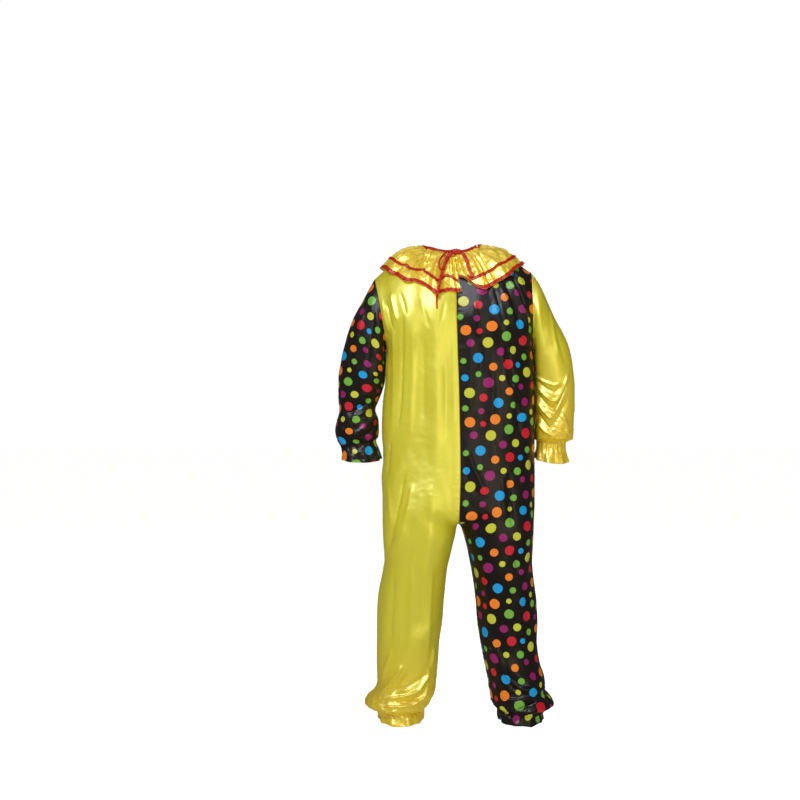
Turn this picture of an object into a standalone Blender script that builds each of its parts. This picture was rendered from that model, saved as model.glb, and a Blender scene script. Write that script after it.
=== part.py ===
"""Clown jumpsuit: a hollow one-piece suit in two satins with a ruffled collar.

Metres. +Z is up, -Y is the front, +X is the wearer's left. The origin is the
middle of the neck line on the shoulders, where the wearer carries the suit.
"""

import math

import bpy
import numpy as np
from mathutils import Vector
from mathutils.bvhtree import BVHTree

# --- Cloth ---------------------------------------------------------------
CLOTH = 0.0016          # wall of satin with its seam allowance
RIBBON = 0.0010         # wall of ribbon
SEAM_GAP = 0.0003       # between two pieces at a seam

# --- Mesh counts ---------------------------------------------------------
NECK_COLUMNS = 4        # columns of a panel on the neck line
PANEL_COLUMNS = 10      # columns of a panel, centre seam to side seam
ARMHOLE_ROWS = 8        # rows of a panel from the shoulder to the underarm
LEG_WAVES = 18          # waves of one ankle frill
CUFF_WAVES = 10         # waves of one wrist frill
COLLAR_COLUMNS = 72     # columns round the collar

# --- Body levels ---------------------------------------------------------
UNDERARM_Z = -0.322
UNDERARM_DROP = 0.028   # how far the row below the armholes sags toward the centre seams
CROTCH_Z = -0.869
TORSO_LEVELS = (-0.38, -0.44, -0.50, -0.57, -0.63, -0.69, -0.75, -0.80, -0.835, -0.855)
LEG_LEVELS = (-0.875, -0.889, -0.919, -0.969, -1.03, -1.10, -1.17, -1.24, -1.305, -1.36,
              -1.395, -1.420, -1.437, -1.453)
FRILL_LEVELS = (-1.467, -1.486)

# x of the centre seams at each height
SEAM_LINE = ((0.02, 0.006), (-0.10, 0.003), (-0.25, 0.001), (-0.45, -0.005),
             (-0.70, -0.009), (-0.87, -0.005), (-1.50, -0.005))

# distance of the side seam from x = 0, at each height
OUTER_LEFT = ((-0.322, 0.2080), (-0.36, 0.2145), (-0.42, 0.2165), (-0.45, 0.2235),
              (-0.48, 0.2275), (-0.545, 0.2310), (-0.576, 0.2325), (-0.61, 0.2310),
              (-0.64, 0.2280), (-0.672, 0.2275), (-0.70, 0.2300), (-0.734, 0.2325),
              (-0.797, 0.2300), (-0.86, 0.2300), (-0.923, 0.2275), (-0.986, 0.2240),
              (-1.017, 0.2290), (-1.049, 0.2360), (-1.08, 0.2420), (-1.112, 0.2455),
              (-1.175, 0.2475), (-1.30, 0.2490), (-1.364, 0.2470), (-1.395, 0.2580),
              (-1.42, 0.2800), (-1.437, 0.2860), (-1.453, 0.2640), (-1.486, 0.2620))
OUTER_RIGHT = ((-0.322, 0.2285), (-0.36, 0.2390), (-0.42, 0.2410), (-0.48, 0.2420),
               (-0.60, 0.2420), (-0.66, 0.2415), (-0.70, 0.2430), (-0.797, 0.2457),
               (-0.86, 0.2430), (-0.923, 0.2395), (-0.986, 0.2365), (-1.049, 0.2425),
               (-1.112, 0.2515), (-1.175, 0.2550), (-1.238, 0.2535), (-1.30, 0.2615),
               (-1.364, 0.2790), (-1.395, 0.2800), (-1.42, 0.2985), (-1.437, 0.3050),
               (-1.453, 0.2900), (-1.486, 0.2960))

# distance of a leg's inner edge from the centre seam, below the crotch
GAP_LEFT = ((-0.869, 0.0), (-0.875, 0.0040), (-0.889, 0.0070), (-0.919, 0.0145),
            (-0.969, 0.0265), (-1.005, 0.0345), (-1.112, 0.0440), (-1.175, 0.0485),
            (-1.238, 0.0580), (-1.30, 0.0620), (-1.364, 0.0680), (-1.395, 0.0710),
            (-1.42, 0.0810), (-1.437, 0.0900), (-1.453, 0.1020), (-1.486, 0.0950))
GAP_RIGHT = ((-0.869, 0.0), (-0.875, 0.0090), (-0.889, 0.0160), (-0.919, 0.0245),
             (-0.969, 0.0360), (-1.005, 0.0430), (-1.052, 0.0508), (-1.112, 0.0570),
             (-1.175, 0.0620), (-1.257, 0.0750), (-1.375, 0.0980), (-1.420, 0.1040),
             (-1.437, 0.1080), (-1.453, 0.1200), (-1.486, 0.1180))

# height, depth of the back from y = 0, depth of the front from y = 0
DEPTHS = ((-0.322, 0.138, 0.150), (-0.42, 0.139, 0.152), (-0.52, 0.138, 0.152),
          (-0.62, 0.142, 0.150), (-0.72, 0.155, 0.148), (-0.80, 0.162, 0.146),
          (-0.86, 0.159, 0.143), (-0.92, 0.148, 0.138), (-1.00, 0.130, 0.128),
          (-1.10, 0.112, 0.115), (-1.20, 0.104, 0.102), (-1.30, 0.106, 0.094),
          (-1.38, 0.109, 0.090), (-1.42, 0.119, 0.098), (-1.437, 0.123, 0.102),
          (-1.453, 0.105, 0.086), (-1.486, 0.113, 0.092))

# height above the crotch, share of the half body that the two leg lobes have in common
LOBE_JOIN = ((0.0, 0.0), (0.008, 0.030), (0.02, 0.0695), (0.04, 0.1396), (0.07, 0.2706),
             (0.11, 0.487), (0.17, 0.682), (0.27, 0.833), (0.40, 0.94), (0.50, 1.0))

# height, roundness of the outer half of a section, roundness of its inner half
ROUNDNESS = ((-0.322, 2.6, 2.6), (-0.55, 2.5, 2.3), (-0.75, 2.5, 1.8), (-0.87, 2.4, 1.7),
             (-1.00, 2.3, 2.0), (-1.20, 2.2, 2.2), (-1.50, 2.1, 2.1))

# --- Neck, shoulder and armhole -------------------------------------------
NECK_CENTRE = (0.0125, -0.002)
NECK_HALF_WIDTH = 0.0755
NECK_BACK = 0.070
NECK_FRONT = 0.074

# the shoulder line from the neck to its tip: distance from x = 0, height
SHOULDER_LEFT = ((0.088, 0.000), (0.122, -0.003), (0.159, -0.014), (0.1975, -0.042),
                 (0.2237, -0.073), (0.2555, -0.103))
SHOULDER_RIGHT = ((0.063, 0.004), (0.092, 0.001), (0.120, -0.004), (0.150, -0.015),
                  (0.180, -0.039), (0.2080, -0.062), (0.235, -0.079))

# the centre seams above the underarm: height, depth
CENTRE_BACK = ((-0.020, 0.068), (-0.06, 0.094), (-0.10, 0.111), (-0.16, 0.126),
               (-0.24, 0.136), (-0.322, 0.138))
CENTRE_FRONT = ((-0.072, 0.076), (-0.12, 0.106), (-0.18, 0.130), (-0.25, 0.145),
                (-0.322, 0.150))
ARMHOLE_INSET = 0.010   # how far the armhole curves toward the centre

# --- Sleeves: outer point (x, z), inner point (x, z), half depth, y of the middle
SLEEVE_LEFT = (
    ((0.2555, -0.103), (0.2080, -0.322), 0.082, 0.000),
    ((0.2750, -0.138), (0.2225, -0.328), 0.084, 0.000),
    ((0.2990, -0.185), (0.2218, -0.348), 0.083, -0.001),
    ((0.3240, -0.236), (0.2218, -0.370), 0.082, -0.002),
    ((0.3460, -0.294), (0.2220, -0.394), 0.080, -0.004),
    ((0.3620, -0.355), (0.2230, -0.420), 0.078, -0.006),
    ((0.3700, -0.415), (0.2310, -0.450), 0.075, -0.009),
    ((0.3712, -0.468), (0.2430, -0.482), 0.072, -0.012),
    ((0.3680, -0.516), (0.2540, -0.514), 0.067, -0.015),
    ((0.3765, -0.550), (0.2440, -0.546), 0.070, -0.017),
    ((0.3810, -0.580), (0.2430, -0.575), 0.070, -0.019),
    ((0.3740, -0.610), (0.2450, -0.596), 0.063, -0.020),
    ((0.3610, -0.632), (0.2530, -0.611), 0.049, -0.021),
)
CUFF_LEFT = (
    ((0.3590, -0.650), (0.2430, -0.640), 0.055, -0.021),
    ((0.3580, -0.668), (0.2370, -0.668), 0.060, -0.021),
)
SLEEVE_RIGHT = (
    ((0.2350, -0.079), (0.2285, -0.322), 0.082, 0.000),
    ((0.2580, -0.111), (0.2475, -0.328), 0.084, 0.000),
    ((0.2800, -0.158), (0.2472, -0.346), 0.083, -0.001),
    ((0.3035, -0.210), (0.2472, -0.366), 0.082, -0.002),
    ((0.3310, -0.262), (0.2474, -0.388), 0.080, -0.004),
    ((0.3530, -0.316), (0.2476, -0.412), 0.078, -0.006),
    ((0.3660, -0.376), (0.2480, -0.440), 0.075, -0.009),
    ((0.3740, -0.438), (0.2485, -0.474), 0.073, -0.012),
    ((0.3750, -0.498), (0.2485, -0.512), 0.071, -0.015),
    ((0.3715, -0.552), (0.2485, -0.552), 0.069, -0.017),
    ((0.3700, -0.603), (0.2485, -0.600), 0.067, -0.019),
    ((0.3475, -0.6150), (0.2570, -0.6130), 0.046, -0.020),
    ((0.3455, -0.6350), (0.2570, -0.6340), 0.045, -0.021),
)
CUFF_RIGHT = (
    ((0.3500, -0.655), (0.2520, -0.650), 0.052, -0.021),
    ((0.3540, -0.676), (0.2500, -0.665), 0.056, -0.021),
)
CUFF_SAG = 0.010        # how much lower the hem is at the back of the wrist

# --- Largest folds of the body panels -------------------------------------
# side, back, (u, z) of the upper end, (u, z) of the lower end, height, half width
FOLDS = (
    (1, True, (0.52, -0.20), (0.58, -0.58), 0.0070, 0.030),
    (1, True, (0.55, -0.66), (0.80, -0.93), 0.0060, 0.032),
    (1, True, (0.20, -0.42), (0.28, -0.74), 0.0040, 0.035),
    (1, True, (0.78, -0.36), (0.76, -0.62), 0.0045, 0.030),
    (1, True, (0.30, -1.16), (0.72, -1.38), 0.0060, 0.032),
    (1, True, (0.62, -0.98), (0.50, -1.22), 0.0050, 0.032),
    (-1, True, (0.46, -0.22), (0.52, -0.56), 0.0060, 0.032),
    (-1, True, (0.76, -0.34), (0.70, -0.66), 0.0045, 0.030),
    (-1, True, (0.30, -0.50), (0.34, -0.78), 0.0045, 0.034),
    (-1, True, (0.62, -0.66), (0.78, -0.94), 0.0055, 0.032),
    (-1, True, (0.40, -0.96), (0.55, -1.20), 0.0050, 0.032),
    (-1, True, (0.15, -1.22), (0.70, -1.39), 0.0060, 0.032),
    (1, False, (0.35, -0.24), (0.42, -0.60), 0.0060, 0.034),
    (1, False, (0.66, -0.30), (0.60, -0.70), 0.0050, 0.034),
    (1, False, (0.50, -0.90), (0.45, -1.24), 0.0050, 0.034),
    (-1, False, (0.38, -0.24), (0.36, -0.58), 0.0060, 0.034),
    (-1, False, (0.68, -0.34), (0.62, -0.72), 0.0050, 0.034),
    (-1, False, (0.48, -0.92), (0.52, -1.26), 0.0050, 0.034),
)

# --- Collar ----------------------------------------------------------------
COLLAR_EYE = (0.008, 0.0, -0.175)   # inside the chest; the collar is laid out round it
# degrees from the centre back toward the wearer's left, width over the shoulders
COLLAR_WIDTH = ((0, 0.138), (20, 0.148), (32, 0.152), (55, 0.150), (90, 0.158), (135, 0.158),
                (180, 0.155), (225, 0.158), (270, 0.155), (305, 0.150), (325, 0.146),
                (340, 0.129), (352, 0.107), (360, 0.092))
COLLAR_WAVES = 15
COLLAR_LIFT = 0.0085    # stand-off of the free edge
COLLAR_FRONT = 0.0022   # more stand-off at the front, where the chest turns sharply
COLLAR_WAVE = 0.0048    # half height of its waves
EDGE_WAVE = 0.0035      # how much the waves move the edge along the body
OPENING_SLANT = -5.5    # degrees that the opening runs aside at the free edge
EDGE_BAND = 0.009       # width of the red edge binding
TRIM_LOW = 0.032        # distance of the red trim from the edge
TRIM_HIGH = 0.041
NECK_BAND = (0.0015, 0.0095)

# --- Bow -------------------------------------------------------------------
KNOT_AT = (0.0005, -0.0235)         # x, z
KNOT_SIZE = (0.0170, 0.0060, 0.0080)
# x, z of the middle of each strip
TAIL_LEFT = ((0.0195, -0.0320), (0.027, -0.040), (0.036, -0.058), (0.044, -0.082),
             (0.051, -0.106), (0.057, -0.132), (0.062, -0.158), (0.064, -0.182), (0.063, -0.204))
TAIL_RIGHT = ((-0.0185, -0.0320), (-0.024, -0.042), (-0.030, -0.058), (-0.037, -0.076),
              (-0.044, -0.092), (-0.049, -0.104))
LOOP = ((0.0235, -0.0175), (0.033, -0.024), (0.044, -0.036), (0.053, -0.052), (0.055, -0.068),
        (0.049, -0.080), (0.042, -0.077), (0.037, -0.062), (0.031, -0.046), (0.0265, -0.034),
        (0.0225, -0.0260))
TAIL_WIDTH = 0.009
STRIP_STEP = 0.012      # length of one mesh row of a strip
LOOP_WIDTH = 0.006
TIE_GAP = 0.0005        # between the knot and what it ties


# --- Small tools -----------------------------------------------------------
def smooth(at, points, column=1):
    """A monotone cubic through a table whose first column rises or falls."""
    table = np.array(points, float)
    if table[0, 0] > table[-1, 0]:
        table = table[::-1]
    x, y = table[:, 0], table[:, column]
    step = np.diff(x)
    slope = np.diff(y) / step
    rate = np.zeros(len(x))
    rate[0], rate[-1] = slope[0], slope[-1]
    for i in range(1, len(x) - 1):
        if slope[i - 1] * slope[i] > 0:
            a, b = 2 * step[i] + step[i - 1], step[i] + 2 * step[i - 1]
            rate[i] = (a + b) / (a / slope[i - 1] + b / slope[i])
    at = np.clip(at, x[0], x[-1])
    i = np.clip(np.searchsorted(x, at) - 1, 0, len(step) - 1)
    t = (at - x[i]) / step[i]
    start = (1 + 2 * t) * (1 - t) ** 2 * y[i] + t * (1 - t) ** 2 * step[i] * rate[i]
    end = t * t * (3 - 2 * t) * y[i + 1] + t * t * (t - 1) * step[i] * rate[i + 1]
    return start + end


def spaced(line, shares):
    """Points of a fine line at shares of its length."""
    line = np.asarray(line, float)
    along = np.concatenate([[0], np.cumsum(np.linalg.norm(np.diff(line, axis=0), axis=1))])
    at = np.asarray(shares) * along[-1]
    return np.stack([np.interp(at, along, line[:, k]) for k in range(line.shape[1])], axis=1)


def even(count):
    return np.linspace(0, 1, count + 1)


def blend(low, high, x):
    t = min(1.0, max(0.0, (x - low) / (high - low)))
    return t * t * (3 - 2 * t)


# --- Body surface ------------------------------------------------------------
def fold_height(side, back, u, z):
    """How far the largest folds stand out of a panel at (u, z)."""
    total = 0.0
    for fold_side, fold_back, top, low, height, half in FOLDS:
        if fold_side != side or fold_back != back:
            continue
        span = top[1] - low[1]
        t = (top[1] - z) / span
        if t < -0.25 or t > 1.25:
            continue
        middle = top[0] + (low[0] - top[0]) * t
        across = (u - middle) * 0.33
        ends = blend(-0.25, 0.25, t) * (1 - blend(0.75, 1.25, t))
        total += height * ends * math.exp(-(across / half) ** 2)
    edge = blend(0.0, 0.14, u) * (1 - blend(0.86, 1.0, u))
    return total * edge


def half_section(side, back, z, shares):
    """Points of one panel at one height, from the centre or inner seam to the side seam."""
    seam = side * smooth(z, SEAM_LINE)
    outer = smooth(z, OUTER_LEFT if side > 0 else OUTER_RIGHT)
    depth_back, depth_front = smooth(z, DEPTHS, 1), smooth(z, DEPTHS, 2)
    round_out, round_in = smooth(z, ROUNDNESS, 1), smooth(z, ROUNDNESS, 2)
    wide = outer - seam
    if z >= CROTCH_Z:
        shared = smooth(z - CROTCH_Z, LOBE_JOIN) * wide
        half, middle = (wide + shared) / 2, seam + (wide - shared) / 2
        reach = (wide - shared) / (wide + shared)
        start = math.pi - math.acos(min(1.0, reach ** (round_in / 2)))
    else:
        gap = smooth(z, GAP_LEFT if side > 0 else GAP_RIGHT)
        half, middle = (wide - gap) / 2, seam + gap + (wide - gap) / 2
        start = math.pi
    deep = (depth_back + depth_front) / 2
    level = (depth_back - depth_front) / 2
    angle = np.linspace(start, 0, 121)
    power = np.where(np.cos(angle) < 0, 2 / round_in, 2 / round_out)
    x = middle + half * np.sign(np.cos(angle)) * np.abs(np.cos(angle)) ** power
    y = level + (1 if back else -1) * deep * np.abs(np.sin(angle)) ** power
    fine = np.stack([x, y], axis=1)
    line = spaced(fine, shares)
    ahead = spaced(fine, np.clip(np.asarray(shares) + 0.01, 0, 1))
    behind = spaced(fine, np.clip(np.asarray(shares) - 0.01, 0, 1))
    run = ahead - behind
    out = np.stack([-run[:, 1], run[:, 0]], axis=1) * (1 if back else -1)
    out /= np.linalg.norm(out, axis=1)[:, None]
    rise = np.array([fold_height(side, back, u, z) for u in shares])
    line = line + out * rise[:, None]
    return np.stack([side * line[:, 0], line[:, 1], np.full(len(line), z)], axis=1)


def hem_tilt(points, low):
    """Lifts the front of the lowest rows, by low at y = -0.1."""
    points[:, 2] += low * (0.11 - points[:, 1]) / 0.21
    return points


def neck_quarter(side, back, shares):
    """The neck line from a centre seam to the side of the neck."""
    seam = smooth(0.0, SEAM_LINE)
    angle = np.linspace(math.pi / 2, 0, 61)
    x = NECK_CENTRE[0] + side * NECK_HALF_WIDTH * np.cos(angle) ** 0.9
    x = x + (seam - NECK_CENTRE[0]) * np.sin(angle) ** 6
    reach = NECK_BACK if back else -NECK_FRONT
    y = NECK_CENTRE[1] * np.cos(angle) + reach * np.sin(angle) ** 0.9
    y = y + ((CENTRE_BACK[0][1] if back else -CENTRE_FRONT[0][1]) - y[0]) * np.sin(angle)
    tip = SHOULDER_LEFT[0][1] if side > 0 else SHOULDER_RIGHT[0][1]
    low = CENTRE_BACK[0][0] if back else CENTRE_FRONT[0][0]
    z = tip + (low - tip) * np.sin(angle) ** 2
    return spaced(np.stack([x, y, z], axis=1), shares)


def shoulder_line(side, shares):
    table = np.array(SHOULDER_LEFT if side > 0 else SHOULDER_RIGHT)
    at = np.linspace(table[0, 0], table[-1, 0], 61)
    z = smooth(at, table)
    y = np.interp(at, [table[0, 0], table[-1, 0]], [NECK_CENTRE[1], 0.0])
    return spaced(np.stack([side * at, y, z], axis=1), shares)


def armhole(side, back, shares):
    """Half of the armhole, from the shoulder tip to the underarm."""
    outer, inner, deep, level = (SLEEVE_LEFT if side > 0 else SLEEVE_RIGHT)[0]
    angle = math.pi * np.asarray(shares)
    middle = (np.array(outer) + np.array(inner)) / 2
    half = (np.array(outer) - np.array(inner)) / 2
    bend = ARMHOLE_INSET * np.sin(angle) ** 2
    x = side * (middle[0] + half[0] * np.cos(angle) - bend)
    z = middle[1] + half[1] * np.cos(angle)
    low = (smooth(UNDERARM_Z, DEPTHS, 1) - smooth(UNDERARM_Z, DEPTHS, 2)) / 2
    y = level + low * np.asarray(shares) + (1 if back else -1) * deep * np.sin(angle)
    return np.stack([x, y, z], axis=1)


def yoke(side, back, columns, rows):
    """The part of a panel above the underarm, as rows of points."""
    split = NECK_COLUMNS / PANEL_COLUMNS
    u = even(columns)
    top = np.array([
        neck_quarter(side, back, [c / split])[0] if c <= split
        else shoulder_line(side, [(c - split) / (1 - split)])[0] for c in u])
    table = np.array(CENTRE_BACK if back else CENTRE_FRONT)
    z = np.linspace(table[0, 0], table[-1, 0], 61)
    centre = np.stack([smooth(z, SEAM_LINE), smooth(z, table) * (1 if back else -1), z], axis=1)
    v = even(rows)
    left = spaced(centre, v)
    left[0] = top[0]
    right = armhole(side, back, v)
    right[0] = top[-1]
    bottom = half_section(side, back, UNDERARM_Z, u)
    bottom[:, 2] -= UNDERARM_DROP * (1 - u ** 8)
    left[-1], right[-1] = bottom[0], bottom[-1]
    grid = []
    for j, b in enumerate(v):
        turn = math.pi / 2 * b
        share = np.array([b, math.sin(turn), 1 - math.cos(turn)])
        straight = (1 - share) * top + share * bottom
        row = straight + (1 - u)[:, None] * (left[j] - straight[0])
        row += u[:, None] * (right[j] - straight[-1])
        rise = np.array([fold_height(side, back, c, p[2]) for c, p in zip(u, row)])
        row[:, 1] += rise * (1 if back else -1) * math.sin(math.pi * b)
        grid.append(row)
    return grid


def panel_rows(side, back):
    """All rows of a body panel, from the neck to the ankle hem."""
    rows = yoke(side, back, PANEL_COLUMNS, ARMHOLE_ROWS)
    shares = even(PANEL_COLUMNS)
    for z in TORSO_LEVELS + (CROTCH_Z,) + LEG_LEVELS:
        row = half_section(side, back, z, shares)
        rows.append(hem_tilt(row, 0.016 * blend(-1.36, -1.45, z)))
    columns = 2 * LEG_WAVES
    for k, z in enumerate(FRILL_LEVELS):
        row = half_section(side, back, z, even(columns))
        height = (0.0030, 0.0058)[k]
        centre = (row[0] + row[-1]) / 2
        for i in range(1, columns):
            wave = (0, 1, 0, -1)[i % 4] * (1 + 0.25 * math.sin(2.3 * (i // 4) + side))
            out = row[i] - centre
            out[2] = 0
            row[i] += out / np.linalg.norm(out) * height * wave
            row[i, 2] += 0.0025 * k * math.sin(1.7 * i + side)
        rows.append(hem_tilt(row, 0.016))
    return rows


# --- Sleeve surface ------------------------------------------------------------
def ring(side, section, count):
    outer, inner, deep, level = section
    angle = 2 * math.pi * np.arange(count) / count
    middle = (np.array(outer) + np.array(inner)) / 2
    half = (np.array(outer) - np.array(inner)) / 2
    bulge = np.abs(np.sin(angle)) ** 0.92 * np.sign(np.sin(angle))
    side_way = np.abs(np.cos(angle)) ** 0.92 * np.sign(np.cos(angle))
    x = side * (middle[0] + half[0] * side_way)
    z = middle[1] + half[1] * side_way
    y = level + deep * bulge
    return np.stack([x, y, z], axis=1)


def sleeve_rows(side):
    """Rings of a sleeve from the armhole to the hem; a ring starts at its outer point."""
    sections = SLEEVE_LEFT if side > 0 else SLEEVE_RIGHT
    count = 2 * ARMHOLE_ROWS
    back = armhole(side, True, even(ARMHOLE_ROWS))
    front = armhole(side, False, even(ARMHOLE_ROWS))
    rows = [np.concatenate([back, front[::-1][1:-1]])]
    for section in sections[1:]:
        rows.append(ring(side, section, count))
    for k, section in enumerate(CUFF_LEFT if side > 0 else CUFF_RIGHT):
        fine = ring(side, section, 4 * CUFF_WAVES)
        middle = fine.mean(axis=0)
        for i in range(len(fine)):
            wave = (0, 1, 0, -1)[i % 4] * (1 + 0.3 * math.sin(2.1 * (i // 4) + side))
            out = fine[i] - middle
            out[2] = 0
            fine[i] += out / np.linalg.norm(out) * (0.0018, 0.0032)[k] * wave
            fine[i, 2] -= CUFF_SAG * k * max(0.0, math.sin(2 * math.pi * i / len(fine)))
        rows.append(fine)
    return rows


# --- Meshes of cloth -------------------------------------------------------------
def zipped(a, b, closed):
    """Triangles between two rows of point numbers with any counts."""
    if closed:
        a, b = list(a) + [a[0]], list(b) + [b[0]]
    i = j = 0
    found = []
    while i < len(a) - 1 or j < len(b) - 1:
        next_a = (i + 1) / (len(a) - 1) if i < len(a) - 1 else 2.0
        next_b = (j + 1) / (len(b) - 1) if j < len(b) - 1 else 2.0
        if next_a <= next_b - 1e-9 or j == len(b) - 1:
            found.append((a[i], b[j], a[i + 1]))
            i += 1
        else:
            found.append((a[i], b[j], b[j + 1]))
            j += 1
    return found


def surface(rows, closed, turned):
    """One sheet's points and triangles; turned swaps the side that faces out."""
    points = np.concatenate(rows)
    first, numbers = 0, []
    for row in rows:
        numbers.append(list(range(first, first + len(row))))
        first += len(row)
    triangles = []
    for a, b in zip(numbers, numbers[1:]):
        triangles += zipped(a, b, closed)
    if turned:
        triangles = [(a, c, b) for a, b, c in triangles]
    return points, triangles


def shared_normals(sheets):
    """Normals of each sheet's points, common to all sheets that meet there."""
    total = {}
    for points, triangles in sheets:
        for t in triangles:
            p = [points[k] for k in t]
            face = np.cross(p[1] - p[0], p[2] - p[0])
            length = np.linalg.norm(face)
            if length < 1e-12:
                continue
            for k in range(3):
                one, two = p[(k + 1) % 3] - p[k], p[(k + 2) % 3] - p[k]
                cosine = one @ two / (np.linalg.norm(one) * np.linalg.norm(two))
                angle = math.acos(max(-1.0, min(1.0, cosine)))
                key = tuple(np.round(p[k], 6))
                total[key] = total.get(key, 0) + face / length * angle
    found = []
    for points, _ in sheets:
        normals = np.array([total[tuple(np.round(p, 6))] for p in points])
        found.append(normals / np.linalg.norm(normals, axis=1)[:, None])
    return found


def rim(triangles):
    """Directed edges that only one triangle has."""
    edges = {(t[k], t[(k + 1) % 3]) for t in triangles for k in range(3)}
    return [e for e in edges if (e[1], e[0]) not in edges]


def drawn_back(points, triangles, normals, by):
    """The points with every free edge moved into the sheet."""
    after = dict(rim(triangles))
    before = {b: a for a, b in after.items()}
    moved = points.copy()
    for v, ahead in after.items():
        ways = []
        for a, b in ((before[v], v), (v, ahead)):
            way = np.cross(normals[v], points[b] - points[a])
            ways.append(way / np.linalg.norm(way))
        moved[v] += by * (ways[0] + ways[1]) / max(0.35, 1 + ways[0] @ ways[1])
    return moved


def solid(name, points, triangles, normals, wall, material, lift=0.0, back=SEAM_GAP / 2):
    """A closed wall of cloth round a sheet."""
    middle = drawn_back(points, triangles, normals, back) + normals * lift
    count = len(points)
    shell = np.concatenate([middle + normals * wall / 2, middle - normals * wall / 2])
    faces = list(triangles)
    faces += [(c + count, b + count, a + count) for a, b, c in triangles]
    for a, b in rim(triangles):
        if tuple(np.round(points[a], 6)) < tuple(np.round(points[b], 6)):
            faces += [(b, a, b + count), (a, a + count, b + count)]
        else:
            faces += [(b, a, a + count), (b, a + count, b + count)]
    mesh = bpy.data.meshes.new(name)
    mesh.from_pydata([tuple(map(float, p)) for p in shell], [], faces)
    mesh.validate()
    mesh.materials.append(material)
    made = bpy.data.objects.new(name, mesh)
    bpy.context.collection.objects.link(made)
    return made


# --- Collar ------------------------------------------------------------------------
def tree_of(sheets):
    points, faces = [], []
    for sheet_points, triangles in sheets:
        first = len(points)
        points += [tuple(p) for p in sheet_points]
        faces += [tuple(k + first for k in t) for t in triangles]
    return BVHTree.FromPolygons(points, faces)


def collar_rows(body):
    """Rows of the collar from the neck to its free edge, laid over the body."""
    eye = np.array(COLLAR_EYE)
    neck = []
    for side, back in ((1, True), (1, False), (-1, False), (-1, True)):
        quarter = neck_quarter(side, back, even(24))
        neck.append(quarter if (side > 0) == back else quarter[::-1])
    neck = np.concatenate(neck) - eye
    turn = np.degrees(np.arctan2(neck[:, 0], neck[:, 1])) % 360
    rise = np.degrees(np.arctan2(neck[:, 2], np.hypot(neck[:, 0], neck[:, 1])))
    order = np.argsort(turn)
    turn, rise = turn[order], rise[order]
    turn = np.concatenate([turn - 360, turn, turn + 360])
    rise = np.tile(rise, 3)

    columns = []
    for i in range(COLLAR_COLUMNS + 1):
        share = i / COLLAR_COLUMNS
        base = 360 * share
        clear = math.degrees(0.0007 / 0.075) * (1 - 2 * share)
        aside = OPENING_SLANT * math.exp(-(min(base, 360 - base) / 30) ** 2)
        phase = 2 * math.pi * (COLLAR_WAVES * share + 0.20 * math.sin(2 * math.pi * 4 * share + 1)
                               + 0.12 * math.sin(2 * math.pi * 7 * share))
        width = smooth(base, COLLAR_WIDTH) + EDGE_WAVE * math.sin(phase + 0.6)
        line, lean = [], 1.0
        top = float(np.interp(base + clear, turn, rise))
        for k in range(81):
            t = k / 80
            level = math.radians(top - 0.4 - (top + 24) * t)
            away = min(1.0, t / 0.6)
            heading = math.radians(base + aside * away + clear * (1 - 0.5 * away))
            way = np.array([math.sin(heading) * math.cos(level),
                            math.cos(heading) * math.cos(level), math.sin(level)])
            hit, face = body.ray_cast(Vector(eye), Vector(way), 1.0)[:2]
            if hit is None:
                break
            line.append(np.array(hit))
            if k < 24:
                lean = max(lean, 1 / max(0.5, abs(way @ np.array(face))))
        line = np.array(line)
        along = np.concatenate([[0], np.cumsum(np.linalg.norm(np.diff(line, axis=0), axis=1))])
        low, high = NECK_BAND
        inner = width - TRIM_HIGH
        stops = [low, high, high + (inner - high) * 0.33, high + (inner - high) * 0.67, inner,
                 width - TRIM_LOW, width - (TRIM_LOW + EDGE_BAND) / 2, width - EDGE_BAND, width]
        column = []
        for stop in stops:
            at = np.array([np.interp(stop, along, line[:, k]) for k in range(3)])
            t = (stop - low) / (width - low)
            way = at - eye
            way /= np.linalg.norm(way)
            stand = 0.0025 * (lean + (1 - lean) * t) + COLLAR_LIFT * t ** 0.5
            stand += COLLAR_FRONT * math.sin(math.pi * share) ** 4 * blend(0.0, 0.12, t)
            wave = COLLAR_WAVE * t ** 0.9 * math.sin(phase) * (1 + 0.3 * math.sin(5 * share * 6.28))
            column.append(at + way * (stand + wave * blend(0.10, 0.45, t)))
        columns.append(column)
    return [np.array([c[k] for c in columns]) for k in range(len(columns[0]))]


# --- Bow ---------------------------------------------------------------------------
def depth_at(cover, x, z, reach):
    """The y of what is farthest back near (x, z)."""
    best = -1.0
    for dx in (-reach, 0.0, reach):
        for dz in (-reach, 0.0, reach):
            start = Vector((x + dx, 0.5, z + dz))
            hit = cover.ray_cast(start, Vector((0, -1, 0)), 1.0)[0]
            if hit is not None:
                best = max(best, hit[1])
    return best


def strip_rows(line, width, cover, stand, across):
    """Rows of a ribbon that lies over what is behind it, from a line of (x, z)."""
    length = np.linalg.norm(np.diff(np.array(line), axis=0), axis=1).sum()
    line = spaced(line, even(round(length / STRIP_STEP)))
    run = np.gradient(line, axis=0)
    run /= np.linalg.norm(run, axis=1)[:, None]
    side = np.stack([-run[:, 1], run[:, 0]], axis=1)
    depth = np.array([depth_at(cover, p[0], p[1], 0.010) for p in line]) + stand
    rows = []
    for p, s, y in zip(line, side, depth):
        row = []
        for k in range(across + 1):
            c = (k / across - 0.5) * width
            row.append((p[0] + s[0] * c, y, p[1] + s[1] * c))
        rows.append(np.array(row))
    return rows


def clearance(points, tree):
    """The smallest distance from points to what a tree holds."""
    return min(tree.find_nearest(Vector(p))[3] for p in points)


def settled(points, tree):
    """How far forward points can move before they touch what lies in front of them."""
    moved = np.array(points, float)
    start = moved[0][1]
    for _ in range(6):
        moved[:, 1] -= clearance(moved, tree) - TIE_GAP
    return moved[0][1] - start


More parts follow.
